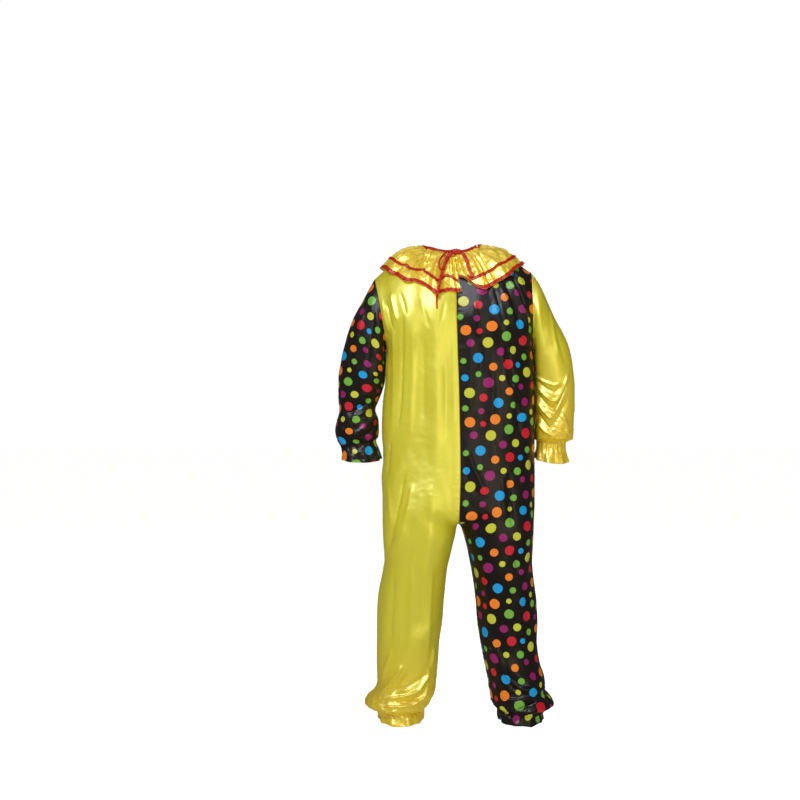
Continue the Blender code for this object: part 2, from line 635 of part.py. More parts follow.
def tied(line, width, cover, tree, ends):
    """A strip over what lies behind it, with its ends brought up to the knot."""
    line = [np.array(p) for p in line]
    middle = np.array(KNOT_AT)
    found = None
    for end in ends:
        far = line[end]
        for step in range(60):
            old = line[end]
            line[end] = middle + (far - middle) * (1 - step / 60)
            points, triangles = surface(strip_rows(line, width, cover, 0.0014, 2), False, True)
            own = shared_normals([(points, triangles)])[0]
            faces = np.concatenate([points + own * RIBBON / 2, points - own * RIBBON / 2])
            drop = np.array((0.0, settled(faces, cover), 0.0))
            if clearance(faces + drop, tree) < TIE_GAP:
                line[end] = old
                break
            found = (points + drop, triangles)
    return found, shared_normals([found])[0]


def knot(cover, material):
    """A small tight knot that sits on the neck ribbon, as a tree of its faces."""
    wide, deep, high = KNOT_SIZE
    rest = depth_at(cover, *KNOT_AT, 0.005)
    middle = Vector((KNOT_AT[0], rest + 2 * deep, KNOT_AT[1]))
    points, rings, around = [], 7, 12
    for i in range(1, rings):
        tall = -math.pi / 2 + math.pi * i / rings
        for j in range(around):
            turn = 2 * math.pi * j / around
            c, s = math.cos(tall) ** 0.6, math.sin(tall)
            points.append((middle[0] + wide * s, middle[1] + deep * c * math.cos(turn),
                           middle[2] + high * c * math.sin(turn)))
    points += [(middle[0] - wide, middle[1], middle[2]), (middle[0] + wide, middle[1], middle[2])]
    faces = []
    for i in range(rings - 2):
        for j in range(around):
            a, b = i * around + j, i * around + (j + 1) % around
            faces.append((a, b, b + around, a + around))
    last = (rings - 2) * around
    for j in range(around):
        k = (j + 1) % around
        faces += [(k, j, len(points) - 2), (last + j, last + k, len(points) - 1)]
    drop = settled(points, cover)
    points = [(p[0], p[1] + drop, p[2]) for p in points]
    mesh = bpy.data.meshes.new("bow_knot")
    mesh.from_pydata(points, [], faces)
    mesh.materials.append(material)
    made = bpy.data.objects.new("bow_knot", mesh)
    bpy.context.collection.objects.link(made)
    return BVHTree.FromPolygons(points, faces)


# --- Assembly ------------------------------------------------------------------------
def cloth(name, colour, rough):
    material = bpy.data.materials.new(name)
    material.use_nodes = True
    shader = material.node_tree.nodes["Principled BSDF"]
    shader.inputs["Base Color"].default_value = (*colour, 1)
    shader.inputs["Roughness"].default_value = rough
    material.diffuse_color = (*colour, 1)
    return material


def band(name, rows, first, last, normals, lift, material):
    """A ribbon made from some of the collar's own rows, moved out."""
    count = len(rows[0])
    points, triangles = surface(rows[first:last + 1], False, True)
    own = normals[first * count:(last + 1) * count]
    solid(name, points, triangles, own, RIBBON, material, lift)
    return points + own * (lift + RIBBON / 2), triangles


def build():
    yellow = cloth("yellow_satin", (0.62, 0.55, 0.03), 0.38)
    dotted = cloth("dotted_satin", (0.016, 0.012, 0.016), 0.38)
    red = cloth("red_ribbon", (0.55, 0.02, 0.015), 0.45)

    names, sheets, colours = [], [], []
    for side, word in ((1, "left"), (-1, "right")):
        for back in (True, False):
            names.append(("back_" if back else "front_") + word)
            sheets.append(surface(panel_rows(side, back), False, (side > 0) == back))
            colours.append(yellow if side > 0 else dotted)
        names.append("sleeve_" + word)
        sheets.append(surface(sleeve_rows(side), True, side < 0))
        colours.append(dotted if side > 0 else yellow)
    normals = shared_normals(sheets)
    for name, (points, triangles), own, colour in zip(names, sheets, normals, colours):
        solid(name, points, triangles, own, CLOTH, colour)

    rows = collar_rows(tree_of(sheets))
    collar = surface(rows, False, True)
    own = shared_normals([collar])[0]
    solid("collar", *collar, own, CLOTH, yellow)
    lift = (CLOTH + RIBBON) / 2 + SEAM_GAP
    covers = [(collar[0] + own * CLOTH / 2, collar[1])]
    covers.append(band("neck_ribbon", rows, 0, 1, own, lift, red))
    covers.append(band("collar_trim", rows, 4, 5, own, lift, red))
    covers.append(band("collar_binding", rows, 7, 8, own, lift, red))
    covers += [(p + n * CLOTH / 2, t) for (p, t), n in zip(sheets, normals)]

    tree = knot(tree_of(covers), red)
    for name, line, width, ends in (("tail_left", TAIL_LEFT, TAIL_WIDTH, (0,)),
                                    ("tail_right", TAIL_RIGHT, TAIL_WIDTH, (0,)),
                                    ("bow_loop", LOOP, LOOP_WIDTH, (0, -1))):
        strip, own = tied(line, width, tree_of(covers), tree, ends)
        solid(name, *strip, own, RIBBON, red)
        covers.append((strip[0] + own * RIBBON / 2, strip[1]))


for thing in list(bpy.data.objects):
    bpy.data.objects.remove(thing, do_unlink=True)
build()
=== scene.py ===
"""Looks of the clown jumpsuit: two satins, gathers, creases, ribbons, light.

Metres. +Z is up, -Y is the front, +X is the wearer's left.
"""

import math
from collections import namedtuple

import bpy
import numpy as np
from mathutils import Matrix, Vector, noise
from mathutils.bvhtree import BVHTree


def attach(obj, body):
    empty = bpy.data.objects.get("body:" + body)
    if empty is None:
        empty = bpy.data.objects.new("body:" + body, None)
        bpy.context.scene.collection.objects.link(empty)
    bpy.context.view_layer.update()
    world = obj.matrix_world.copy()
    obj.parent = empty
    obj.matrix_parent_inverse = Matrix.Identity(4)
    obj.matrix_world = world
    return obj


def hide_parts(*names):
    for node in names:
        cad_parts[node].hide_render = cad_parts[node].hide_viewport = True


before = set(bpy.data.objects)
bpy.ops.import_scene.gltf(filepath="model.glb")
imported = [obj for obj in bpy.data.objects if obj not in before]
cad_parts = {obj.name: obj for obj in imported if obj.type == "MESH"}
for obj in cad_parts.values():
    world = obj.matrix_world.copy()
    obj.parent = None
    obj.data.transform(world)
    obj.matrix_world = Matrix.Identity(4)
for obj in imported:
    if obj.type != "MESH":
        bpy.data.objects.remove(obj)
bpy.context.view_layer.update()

LEFT, RIGHT = 1, -1     # sides of the wearer, as the sign of x
BACK, FRONT = 1, -1     # faces of the suit, as the sign of y


def metres(*rows):
    """A table written in millimetres."""
    return np.array(rows) / 1000


# --- Cloth ---
CLOTH = 0.0012          # wall of satin
RIBBON = 0.0008         # wall of ribbon
KNOT_WALL = 0.0006
LAID_GAP = 0.0003       # between two pieces that lie on each other
SEAM_GAP = 0.00004      # between two panels at a seam; no light shows through it

# --- Mesh counts ---
COLUMNS = 84            # cells of a panel, centre seam to side seam
YOKE_ROWS = 92          # rows of a panel from the shoulder to the underarm
CHEST_ROWS = 140        # rows of a sheet that may lie under the collar or the bow
ROW_STEP = 0.0036       # height of a row of the body and legs
HEM_STEP = 0.0022       # height of a row near the ankle
SLEEVE_COLUMNS = 132    # cells round a sleeve
SLEEVE_STEP = 0.0034
CUFF_ROWS = 46          # rows of a sleeve near and below its elastic
COLLAR_COLUMNS = 460    # cells round the collar
COLLAR_ROWS = 46
RIBBON_CELLS = 6        # cells across a ribbon
FINE = 61               # points of a construction line

# --- Body ---
UNDERARM_Z = -0.322
UNDERARM_DROP = 0.028
FIRST_LEVEL = -0.38
CROTCH_Z = -0.869
ANKLE_Z = -1.38         # where the finer rows start
GATHER_Z = -1.453       # the elastic above the ankle frill
HEM_Z = -1.486
PANEL_WIDTH = 0.33      # of cloth, for the width of a fold
FRILL_WAVES = 5.4       # waves of the ankle frill on a panel
ANKLE_GATHERS = 17      # gathers on a panel at its elastic
GATHER_HEIGHT = 0.0013
GATHER_ABOVE, GATHER_BELOW = 0.018, 0.014   # reach of the gathers from the elastic
HEM_RISE = 0.016        # how much higher the hem is at the front of the ankle
HEM_BACK, HEM_DEPTH = 0.11, 0.21            # y of the hem's back, and its depth

# x of the centre seams at each height
SEAM_LINE = metres((20, 6), (-100, 3), (-250, 1), (-450, -5), (-700, -9), (-870, -5), (-1500, -5))

# height, distance of the side seam from x = 0
OUTER = {
    LEFT: metres((-322, 217.5), (-328.5, 220), (-336, 220.8), (-420, 221.4), (-450, 223.5),
        (-480, 227.5), (-545, 231), (-576, 232.5), (-610, 231), (-640, 228), (-672, 227.5),
        (-700, 230), (-734, 232.5), (-797, 230), (-860, 230), (-923, 227.5), (-986, 224),
        (-1017, 229), (-1049, 236), (-1080, 242), (-1112, 245.5), (-1175, 247.5), (-1300, 249),
        (-1364, 247), (-1395, 258), (-1420, 280), (-1437, 286), (-1453, 261), (-1467, 245),
        (-1486, 244)),
    RIGHT: metres((-322, 239.5), (-328.5, 244), (-336, 245.7), (-360, 246.2), (-480, 246.4),
        (-600, 247), (-660, 247), (-700, 247.5), (-797, 245.7), (-860, 243), (-923, 239.5),
        (-986, 236.5), (-1049, 242.5), (-1112, 251.5), (-1175, 255), (-1238, 253.5), (-1300, 261.5),
        (-1364, 279), (-1395, 280), (-1420, 298.5), (-1437, 305), (-1453, 286), (-1467, 272),
        (-1486, 274))}

# height, distance of a leg's inner edge from the centre seam
GAP = {
    LEFT: metres((-869, 0), (-875, 4), (-889, 7), (-919, 14.5), (-969, 26.5), (-1005, 34.5),
        (-1112, 44), (-1175, 48.5), (-1238, 58), (-1300, 62), (-1364, 68), (-1395, 71), (-1420, 81),
        (-1437, 90), (-1453, 104), (-1486, 108)),
    RIGHT: metres((-869, 0), (-875, 9), (-889, 16), (-919, 24.5), (-969, 36), (-1005, 43),
        (-1052, 50.8), (-1112, 57), (-1175, 62), (-1257, 75), (-1375, 98), (-1420, 104),
        (-1437, 108), (-1453, 123), (-1486, 127))}

# height, depth of the back from y = 0, depth of the front from y = 0
DEPTHS = metres((-322, 138, 150), (-420, 139, 152), (-520, 138, 152), (-620, 142, 150),
    (-720, 149, 148), (-800, 153, 146), (-860, 152, 143), (-920, 146, 138), (-1000, 134, 128),
    (-1100, 118, 115), (-1200, 108, 102), (-1300, 106, 94), (-1380, 109, 90), (-1420, 119, 98),
    (-1437, 123, 102), (-1453, 105, 86), (-1486, 113, 92))

# height above the crotch, share of the half body that the two leg lobes have in common
LOBE_JOIN = ((0, 0), (0.008, 0.07), (0.02, 0.22), (0.04, 0.45), (0.07, 0.7), (0.11, 0.87),
    (0.16, 0.96), (0.24, 1))

# height, roundness of the outer half of a section, roundness of its inner half
ROUNDNESS = ((-0.322, 2.6, 2.6), (-0.55, 2.5, 2.6), (-0.75, 2.5, 3), (-0.87, 2.4, 3.2),
    (-1, 2.3, 2.7), (-1.2, 2.2, 2.3), (-1.5, 2.1, 2.1))

# height, height of the waves of the ankle frill
FRILL = metres((-1453, 0), (-1467, 1.8), (-1486, 3.4))

# --- Neck, shoulder and armhole ---
NECK_CENTRE = (0.0125, -0.002)
NECK_HALF_WIDTH = 0.0755
NECK_DEPTH = {BACK: 0.070, FRONT: 0.074}
NECK_SHARE = 0.4        # share of a panel's columns on the neck line
ARMHOLE_INSET = 0.002   # how far the armhole bows in

# the shoulder line from the neck to its tip: distance from x = 0, height
SHOULDER = {
    LEFT: metres((88, 0), (122, -3), (159, -14), (197.5, -42), (223.7, -73), (255.5, -103)),
    RIGHT: metres((63, 4), (92, 1), (120, -4), (150, -15), (180, -39), (208, -62), (235, -79))}

# the centre seams above the underarm: height, depth
CENTRE = {
    BACK: metres((-20, 68), (-60, 94), (-100, 111), (-160, 126), (-240, 136), (-322, 138)),
    FRONT: metres((-72, 76), (-120, 106), (-180, 130), (-250, 145), (-322, 150))}

# --- Sleeves: outer x, outer z, inner x, inner z, half depth, y of the middle
SLEEVE = {
    LEFT: metres((255.5, -103, 217.5, -322, 82, 0), (275, -138, 222.2, -328, 84, 0),
        (299, -185, 222.2, -348, 83, -1), (324, -236, 222.2, -370, 82, -2),
        (346, -294, 223, -394, 80, -4), (362, -355, 223.8, -420, 78, -6),
        (370, -415, 231, -450, 75, -9), (371.2, -468, 243, -482, 72, -12),
        (368, -516, 254, -514, 67, -15), (376.5, -550, 244, -546, 70, -17),
        (381, -580, 243, -575, 70, -19), (374, -610, 245, -596, 63, -20),
        (361, -632, 253, -611, 49, -21), (359, -650, 243, -640, 55, -21),
        (358, -668, 237, -668, 60, -21)),
    RIGHT: metres((235, -79, 239.5, -322, 82, 0), (258, -111, 246.4, -328, 84, 0),
        (280, -158, 247, -346, 83, -1), (303.5, -210, 247.2, -366, 82, -2),
        (331, -262, 247.4, -388, 80, -4), (353, -316, 247.6, -412, 78, -6),
        (366, -376, 248, -440, 75, -9), (374, -438, 248.5, -474, 73, -12),
        (375, -498, 248.5, -512, 71, -15), (371.5, -552, 248.5, -552, 69, -17),
        (370, -603, 248.5, -600, 67, -19), (347.5, -615, 257, -613, 46, -20),
        (345.5, -635, 257, -634, 45, -21), (350, -655, 252, -650, 52, -21),
        (354, -676, 250, -665, 56, -21))}
CUFF_SECTIONS = 2       # sections below the elastic
CUFF_SAG = 0.010        # how much lower the hem is at the back of the wrist
CUFF_WAVES = 8
CUFF_FRILL = 0.0034     # height of the waves of the wrist frill
CUFF_GATHERS = 19       # gathers round a wrist at its elastic
CUFF_GATHER_HEIGHT = 0.0017
CUFF_ABOVE, CUFF_BELOW = 0.014, 0.016       # reach of the gathers from the elastic
CUFF_FINE = 0.04        # where the finer rows start above the elastic
SLEEVE_BOX = 0.92       # below 1, a sleeve's section is boxier than an ellipse

# --- Creases seen from behind, in millimetres ---
# height (+ ridge, - trough), half width, lean, then x, z of each point from end to end
CREASES = {
    LEFT: (
        (-7.2, 6, 0.3, 167, -194, 167, -268, 168, -360, 173, -482, 182, -592),
        (5.8, 12, 0, 200, -176, 196, -268, 194, -390, 197, -543, 204, -635),
        (5.8, 14, 0, 139, -237, 136, -360, 142, -513, 148, -635),
        (5.1, 22, 0, 72, -253, 66, -390, 66, -543, 72, -696),
        (-4.3, 12, 0, 103, -268, 103, -421, 106, -574),
        (-2.9, 11, 0, 38, -329, 35, -482, 35, -635),
        (2.9, 6, 0, 14, -268, 12, -421, 11, -574),
        (-8.7, 7, 0.3, 158, -690, 172, -768, 190, -849, 204, -913, 213, -959),
        (5.8, 12, 0, 136, -727, 148, -803, 167, -880, 185, -947),
        (5.1, 22, 0, 78, -727, 84, -849, 96, -971, 112, -1094),
        (-5.1, 5, 0, 202, -604, 210, -666, 214, -717),
        (4.3, 8, 0, 213, -727, 207, -803, 204, -880),
        (5.8, 7, 0, 234, -167, 225, -222, 204, -283),
        (5.8, 7, 0, 207, -146, 191, -213, 179, -256),
        (-5.8, 5, 0, 219, -176, 207, -231, 188, -280),
        (5.1, 5, 0, 249, -176, 237, -231, 222, -305),
        (-5.1, 4, 0, 240, -204, 228, -256, 216, -329),
        (-3.6, 6, 0, 176, -149, 164, -188, 155, -231),
        (-2.9, 7, 0, 115, -164, 103, -213, 84, -268),
        (-2.9, 7, 0, 38, -176, 48, -231, 60, -292),
        (5.8, 15, 0, 145, -971, 139, -1063, 142, -1186, 152, -1277),
        (-4.3, 12, 0, 112, -990, 109, -1094, 115, -1216),
        (-4.3, 10, 0, 194, -1002, 200, -1124, 207, -1247),
        (4.3, 9, 0, 78, -971, 84, -1094, 90, -1216, 93, -1302),
        (8.4, 7, 0.3, 164, -1290, 188, -1332, 219, -1375, 237, -1397),
        (-7, 6, 0, 148, -1314, 173, -1351, 204, -1391),
        (5.1, 8, 0, 200, -1247, 216, -1302, 231, -1351),
        (10, 5, 0.3, 230, -1419, 205, -1400, 160, -1392, 118, -1374, 92, -1336, 84, -1300),
        (9, 4.5, 0, 236, -1424, 190, -1424, 140, -1420, 100, -1396, 84, -1352),
        (-9.8, 5, 0, 191, -1407, 152, -1407, 112, -1397),
        (-5.6, 6, 0, 161, -1369, 121, -1348, 84, -1323),
        (5.8, 5, 0, 72, -1241, 75, -1277, 81, -1314),
        (-5.6, 4, 0, 262, -1418, 237, -1409, 213, -1409),
        (-5.6, 4, 0, 249, -1436, 225, -1449, 188, -1458),
        (-5.6, 4, 0, 170, -1436, 139, -1452, 103, -1449),
        (4.2, 4, 0, 200, -1433, 176, -1452)
    ),
    RIGHT: (
        (-9.6, 5, -0.3, -142, -314, -148, -354, -160, -415, -173, -458),
        (4.8, 8, 0, -157, -314, -167, -366, -182, -436),
        (-8.4, 5, 0, -179, -476, -188, -543, -194, -592),
        (3.6, 7, 0, -203, -482, -212, -558),
        (-9.6, 5, -0.3, -154, -696, -157, -757, -164, -828, -167, -880),
        (4.2, 9, 0, -139, -711, -139, -788, -145, -864),
        (-7.2, 4.5, 0, -170, -926, -179, -971, -185, -1017),
        (3.6, 14, 0, -38, -268, -41, -390, -38, -543),
        (-3, 12, 0, -69, -298, -72, -421),
        (4.2, 13, 0, -105, -329, -108, -451, -102, -574),
        (4.8, 12, 0, -26, -620, -44, -681, -72, -742, -105, -788),
        (-4.2, 8, 0, -14, -672, -32, -727, -63, -779),
        (9, 4.4, 0, -130, -124, -154, -191, -173, -253, -209, -314),
        (9, 4.4, 0, -154, -100, -185, -164, -209, -231, -222, -283),
        (7.5, 4.4, 0, -173, -78, -203, -133, -228, -182),
        (-7.5, 4.2, 0, -142, -112, -170, -179, -194, -253),
        (-7.5, 4.2, 0, -167, -90, -194, -152, -219, -213),
        (-5, 5, 0, -112, -136, -127, -191, -142, -268),
        (4, 6, 0, -50, -176, -63, -237, -69, -298),
        (7.2, 5, 0.3, -93, -1176, -108, -1216, -124, -1250, -136, -1283, -151, -1331, -191, -1368,
         -233, -1381, -264, -1380),
        (-6, 5, 0, -87, -1198, -102, -1241, -121, -1280, -136, -1323, -173, -1369, -216, -1394),
        (6.3, 5, 0, -188, -1366, -228, -1357, -268, -1342),
        (-12.6, 5, 0, -176, -1435, -209, -1421, -246, -1409),
        (6.3, 5, 0, -164, -1418, -197, -1406, -234, -1394),
        (5.6, 5, 0, -185, -1449, -222, -1439, -255, -1424),
        (4.9, 4, 0, -124, -1412, -154, -1406, -188, -1400),
        (3.6, 9, 0, -81, -971, -93, -1063, -105, -1155),
        (-3.6, 9, 0, -145, -1033, -154, -1124, -164, -1216),
        (-4.2, 6, 0, -203, -1017, -216, -1124, -225, -1216),
        (3.6, 8, 0, -185, -1063, -197, -1170, -212, -1262),
        (-5.6, 4, 0, -130, -1443, -160, -1458, -191, -1467)
    )}
SLEEVE_CREASES = {
    LEFT: (
        (-6, 6, 0, 263, -466, 285, -498, 325, -519, 353, -522),
        (4, 5, 0, 254, -494, 282, -516, 313, -535, 347, -538),
        (5, 6, 0, 244, -519, 275, -553, 313, -588, 344, -609),
        (-4.5, 5, 0, 241, -557, 272, -585, 307, -609),
        (3.5, 4, 0, 247, -581, 275, -606, 300, -625),
        (-4, 5, 0, 356, -544, 347, -581, 331, -616),
        (3, 5, 0, 338, -538, 325, -575, 310, -609),
        (3.5, 8, 0, 275, -140, 294, -233, 325, -327),
        (-4, 6, 0, 251, -171, 260, -264, 275, -358, 288, -435),
        (-3, 8, 0, 310, -264, 331, -358, 347, -435),
        (3, 6, 0, 238, -233, 241, -311, 251, -389, 260, -457)
    ),
    RIGHT: (
        (9, 4, 0, -244, -425, -275, -466, -298, -486, -312, -482, -327, -455, -352, -380),
        (9, 4, 0, -244, -466, -268, -510, -293, -540, -315, -505, -345, -432),
        (6, 4, 0, -244, -402, -272, -424, -300, -436, -335, -428),
        (-9, 4.5, 0, -244, -448, -272, -490, -297, -512, -321, -482, -349, -420),
        (-6, 4, 0, -244, -414, -278, -447, -306, -459, -331, -432),
        (-7, 6, 0, -240, -495, -265, -540, -290, -572, -321, -533, -349, -470),
        (6, 6, 0, -250, -545, -276, -580, -309, -600),
        (5, 6, 0, -331, -525, -343, -556, -352, -594),
        (-4, 5, 0, -247, -513, -256, -550, -262, -585),
        (4, 12, 0, -250, -171, -259, -264, -268, -358),
        (-4, 9, 0, -309, -264, -327, -327, -340, -376),
        (4, 7, 0, -290, -190, -300, -270, -318, -350),
        (-4, 5, 0, -234, -171, -240, -264)
    )}

# height, size, stretch in z and added seed of the cloth's unevenness and of its crush
UNEVEN = ((0.0036, 0.058, 3.6, 0), (0.0008, 0.021, 2.2, 7))
CRUSH = ((0.0011, 0.026, 0.9, 3), (0.0005, 0.012, 0.8, 5))
COLLAR_CRUSH = ((0.0026, 0.030, 1.0, 41), (0.0010, 0.013, 1.0, 47))
EDGE_CRUSH = (0.0014, 0.009, 1.0, 53)
EDGE_FADE = 0.022       # creases fade out this near to a seam
TOP_FADE = 0.012        # and fall to a quarter this near to a neck line or armhole
SEAM_GROOVE, GROOVE_HALF = 0.0012, 0.004    # depth and half width of a seam's groove
PUCKER_HEIGHT, PUCKER_STEP, PUCKER_REACH = 0.0009, 0.0155, 0.012    # gathers along a seam

# the largest folds of the body panels: column share and z of the upper end,
# the same of the lower end, height, half width
FOLDS = {
    (LEFT, BACK): ((0.52, -0.2, 0.58, -0.58, 0.007, 0.034), (0.55, -0.66, 0.8, -0.93, 0.007, 0.034),
        (0.22, -0.34, 0.26, -0.86, 0.006, 0.038), (0.78, -0.36, 0.76, -0.62, 0.005, 0.032),
        (0.3, -1.16, 0.72, -1.38, 0.007, 0.034), (0.42, -0.8, 0.4, -1.26, 0.008, 0.04)),
    (RIGHT, BACK): ((0.46, -0.22, 0.52, -0.56, 0.006, 0.032),
        (0.76, -0.34, 0.7, -0.66, 0.0045, 0.03), (0.3, -0.5, 0.34, -0.78, 0.0045, 0.034),
        (0.62, -0.66, 0.78, -0.94, 0.0055, 0.032), (0.4, -0.96, 0.55, -1.2, 0.005, 0.032),
        (0.15, -1.22, 0.7, -1.39, 0.006, 0.032)),
    (LEFT, FRONT): ((0.35, -0.24, 0.42, -0.6, 0.006, 0.034), (0.66, -0.3, 0.6, -0.7, 0.005, 0.034),
        (0.5, -0.9, 0.45, -1.24, 0.005, 0.034)),
    (RIGHT, FRONT): ((0.38, -0.24, 0.36, -0.58, 0.006, 0.034),
        (0.68, -0.34, 0.62, -0.72, 0.005, 0.034), (0.48, -0.92, 0.52, -1.26, 0.005, 0.034))}

# --- Collar ---
COLLAR_EYE = (0.008, 0.0, -0.175)   # inside the chest; the collar is laid out round it
# degrees from the centre back toward the wearer's left, width over the shoulders,
# distance of the trim from the neck seam
COLLAR_WIDTH = ((0, 0.147, 0.113), (5, 0.147, 0.106), (9.5, 0.146, 0.101), (14, 0.147, 0.098),
    (17.5, 0.151, 0.101), (21, 0.158, 0.114), (24, 0.165, 0.124), (28, 0.159, 0.117),
    (33, 0.151, 0.108), (38, 0.1445, 0.102), (44, 0.144, 0.093), (49.5, 0.157, 0.111),
    (54, 0.157, 0.112), (60, 0.155, 0.111), (66, 0.159, 0.118), (73, 0.158, 0.119),
    (82, 0.156, 0.117), (92, 0.161, 0.121), (104, 0.157, 0.118), (115, 0.161, 0.122),
    (127, 0.156, 0.118), (139, 0.16, 0.121), (151, 0.155, 0.117), (163, 0.159, 0.12),
    (175, 0.153, 0.115), (187, 0.158, 0.119), (199, 0.155, 0.116), (211, 0.16, 0.121),
    (223, 0.156, 0.118), (235, 0.161, 0.122), (247, 0.156, 0.118), (258, 0.16, 0.121),
    (270, 0.158, 0.117), (283, 0.158, 0.12), (296, 0.155, 0.117), (303, 0.157, 0.111),
    (317, 0.156, 0.109), (324, 0.157, 0.112), (331, 0.156, 0.113), (338, 0.145, 0.114),
    (345, 0.127, 0.11), (352, 0.113, 0.095), (356, 0.107, 0.088), (360, 0.102, 0.084))
# degrees of the outermost lines of the ruffles
RUFFLES = (-8, 25, 51, 70, 92, 115, 139, 163, 187, 211, 235, 258, 283, 303, 332, 352, 385)
COLLAR_STAND = 0.0025   # stand-off at the neck seam
COLLAR_LIFT = 0.0085    # more stand-off at the free edge
COLLAR_FRONT = 0.0022   # more stand-off at the front
COLLAR_WAVE = 0.0048    # half height of the ruffles
NECK_GATHERS, LOBE_FOLDS = 0.0010, 0.0054   # heights of the fine folds near the neck and the edge
# degrees, half width and height of the pleats beside the opening
PLEATS = ((25.5, 3.4, 0.0065), (18.5, 2.6, -0.0035))
LOWEST_RAY = -24        # degrees; the rays that find the body under the collar end there
OPENING_SLANT = -8.0    # degrees that the opening runs aside at the free edge
OPENING_HALF = 0.0007   # half its width at the neck
NECK_RADIUS = 0.075
NECK_EDGE = 0.0015      # where the collar and the neck ribbon start, from the neck line
NECK_RIBBON = 0.0135    # where the neck ribbon ends
EDGE_BAND = 0.0116      # width of the binding
TRIM_BAND = 0.0102      # width of the trim
TRIM_END = 349.5        # degrees; its end is tucked in under the right tail
BODY_CLEAR = 0.0018     # from the body's cloth to the collar's
PROBE = 0.03            # length of the rays that look for the body under the collar

# --- Bow: x, z of its middle; half sizes in x, y, z ---
KNOT_AT = (0.0005, -0.0235)
KNOT_SIZE = (0.0165, 0.0058, 0.0078)
BOW_STEP = 0.0022       # length of a cell of a tail or the loop
BOW_REACH = 0.004       # half width of the patch that is looked at behind a point
BOW_GAP = 0.0012        # from what is behind to the ribbon
BOW_CROWN, BOW_ROLL = 0.0008, 0.0010        # its roundness and how far it tilts

# --- Print: one repeat of dots, in millimetres: x, y, diameter ---
REPEAT = 290
DOT_EDGE = 0.0004       # metres; half the soft edge of a dot
DOTS = {
    "orange": ((25, 0, 32), (102, -7, 32), (101, 119, 25), (256, 88, 27), (148, 197, 24),
        (254, 228, 30)),
    "red": ((65, 6, 18), (206, 40, 32), (148, 113, 30), (268, 132, 23), (68, 214, 25),
        (242, 182, 25)),
    "lime": ((146, -16, 17), (88, 43, 32), (274, 22, 20), (168, 70, 25), (127, 155, 19),
        (218, 140, 31), (26, 198, 32), (232, 264, 18)),
    "blue": ((192, -10, 28), (56, 89, 31), (184, 116, 18), (14, 150, 22), (113, 232, 31)),
    "green": ((238, 4, 24), (145, 26, 30), (12, 96, 18), (212, 92, 21), (55, 140, 18),
        (172, 158, 24), (12, 246, 19), (160, 240, 20), (276, 192, 17)),
    "magenta": ((36, 41, 24), (250, 50, 18), (126, 73, 25), (84, 168, 32), (190, 184, 19),
        (204, 232, 26), (60, 256, 19))}
INKS = {"red": (0.46, 0.007, 0.018), "magenta": (0.23, 0.006, 0.10), "blue": (0.002, 0.25, 0.54),
        "orange": (0.66, 0.17, 0.010), "green": (0.13, 0.34, 0.035), "lime": (0.44, 0.44, 0.028)}
PRINT_TOP = -0.271      # height of the print's first row on the centre back


# --- Small tools ---
def hermite(at, x, y, rate):
    """A cubic through points with set slopes."""
    i = np.clip(np.searchsorted(x, at) - 1, 0, len(x) - 2)
    step = x[i + 1] - x[i]
    t = (at - x[i]) / step
    start = (1 + 2 * t) * (1 - t) ** 2 * y[i] + t * (1 - t) ** 2 * step * rate[i]
    return start + t * t * (3 - 2 * t) * y[i + 1] + t * t * (t - 1) * step * rate[i + 1]


def smooth(at, table, column=1):
    """A monotone cubic through a table whose first column rises or falls."""
    table = np.array(table, float)
    if table[0, 0] > table[-1, 0]:
        table = table[::-1]
    x, y = table[:, 0], table[:, column]
    step = np.diff(x)
    slope = np.diff(y) / step
    rate = np.zeros(len(x))
    rate[0], rate[-1] = slope[0], slope[-1]
    for i in range(1, len(x) - 1):
        if slope[i - 1] * slope[i] > 0:
            a, b = 2 * step[i] + step[i - 1], step[i] + 2 * step[i - 1]
            rate[i] = (a + b) / (a / slope[i - 1] + b / slope[i])
    return hermite(np.clip(at, x[0], x[-1]), x, y, rate)


def rounded(at, x, y):
    """A cubic through points whose slopes are those of their neighbours."""
    return hermite(at, x, y, np.gradient(y, x))


def lengths(line):
    """Distances of a line's points from its start; for a grid, along each of its rows."""
    step = np.linalg.norm(np.diff(line, axis=-2), axis=-1)
    return np.concatenate([np.zeros(step.shape[:-1] + (1,)), np.cumsum(step, axis=-1)], axis=-1)


def between(at, along, line):
    """Points at distances along a line."""
    return np.stack([np.interp(at, along, line[:, k]) for k in range(line.shape[1])], axis=1)


def spaced(line, shares):
    """Points of a fine line at shares of its length."""
    along = lengths(line)
    return between(np.asarray(shares) * along[-1], along, line)


def even(count):
    return np.linspace(0, 1, count + 1)


def blend(low, high, x):
    t = np.clip((np.asarray(x, float) - low) / (high - low), 0, 1)
    return t * t * (3 - 2 * t)


def unit(v):
    return v / np.maximum(np.linalg.norm(v, axis=-1, keepdims=True), 1e-12)


# --- Body surface ---
def fold_height(side, face, u, z):
    """How far the largest folds stand out of a panel at columns u and heights z."""
    total = np.zeros(np.broadcast(u, z).shape)
    for u0, z0, u1, z1, height, half in FOLDS[side, face]:
        t = (z0 - z) / (z0 - z1)
        off = (u - u0 - (u1 - u0) * t) * PANEL_WIDTH / half
        ends = blend(-0.25, 0.25, t) * (1 - blend(0.75, 1.25, t))
        total = total + height * ends * np.exp(-off ** 2)
    return total * blend(0.0, 0.14, u) * (1 - blend(0.86, 1.0, u))


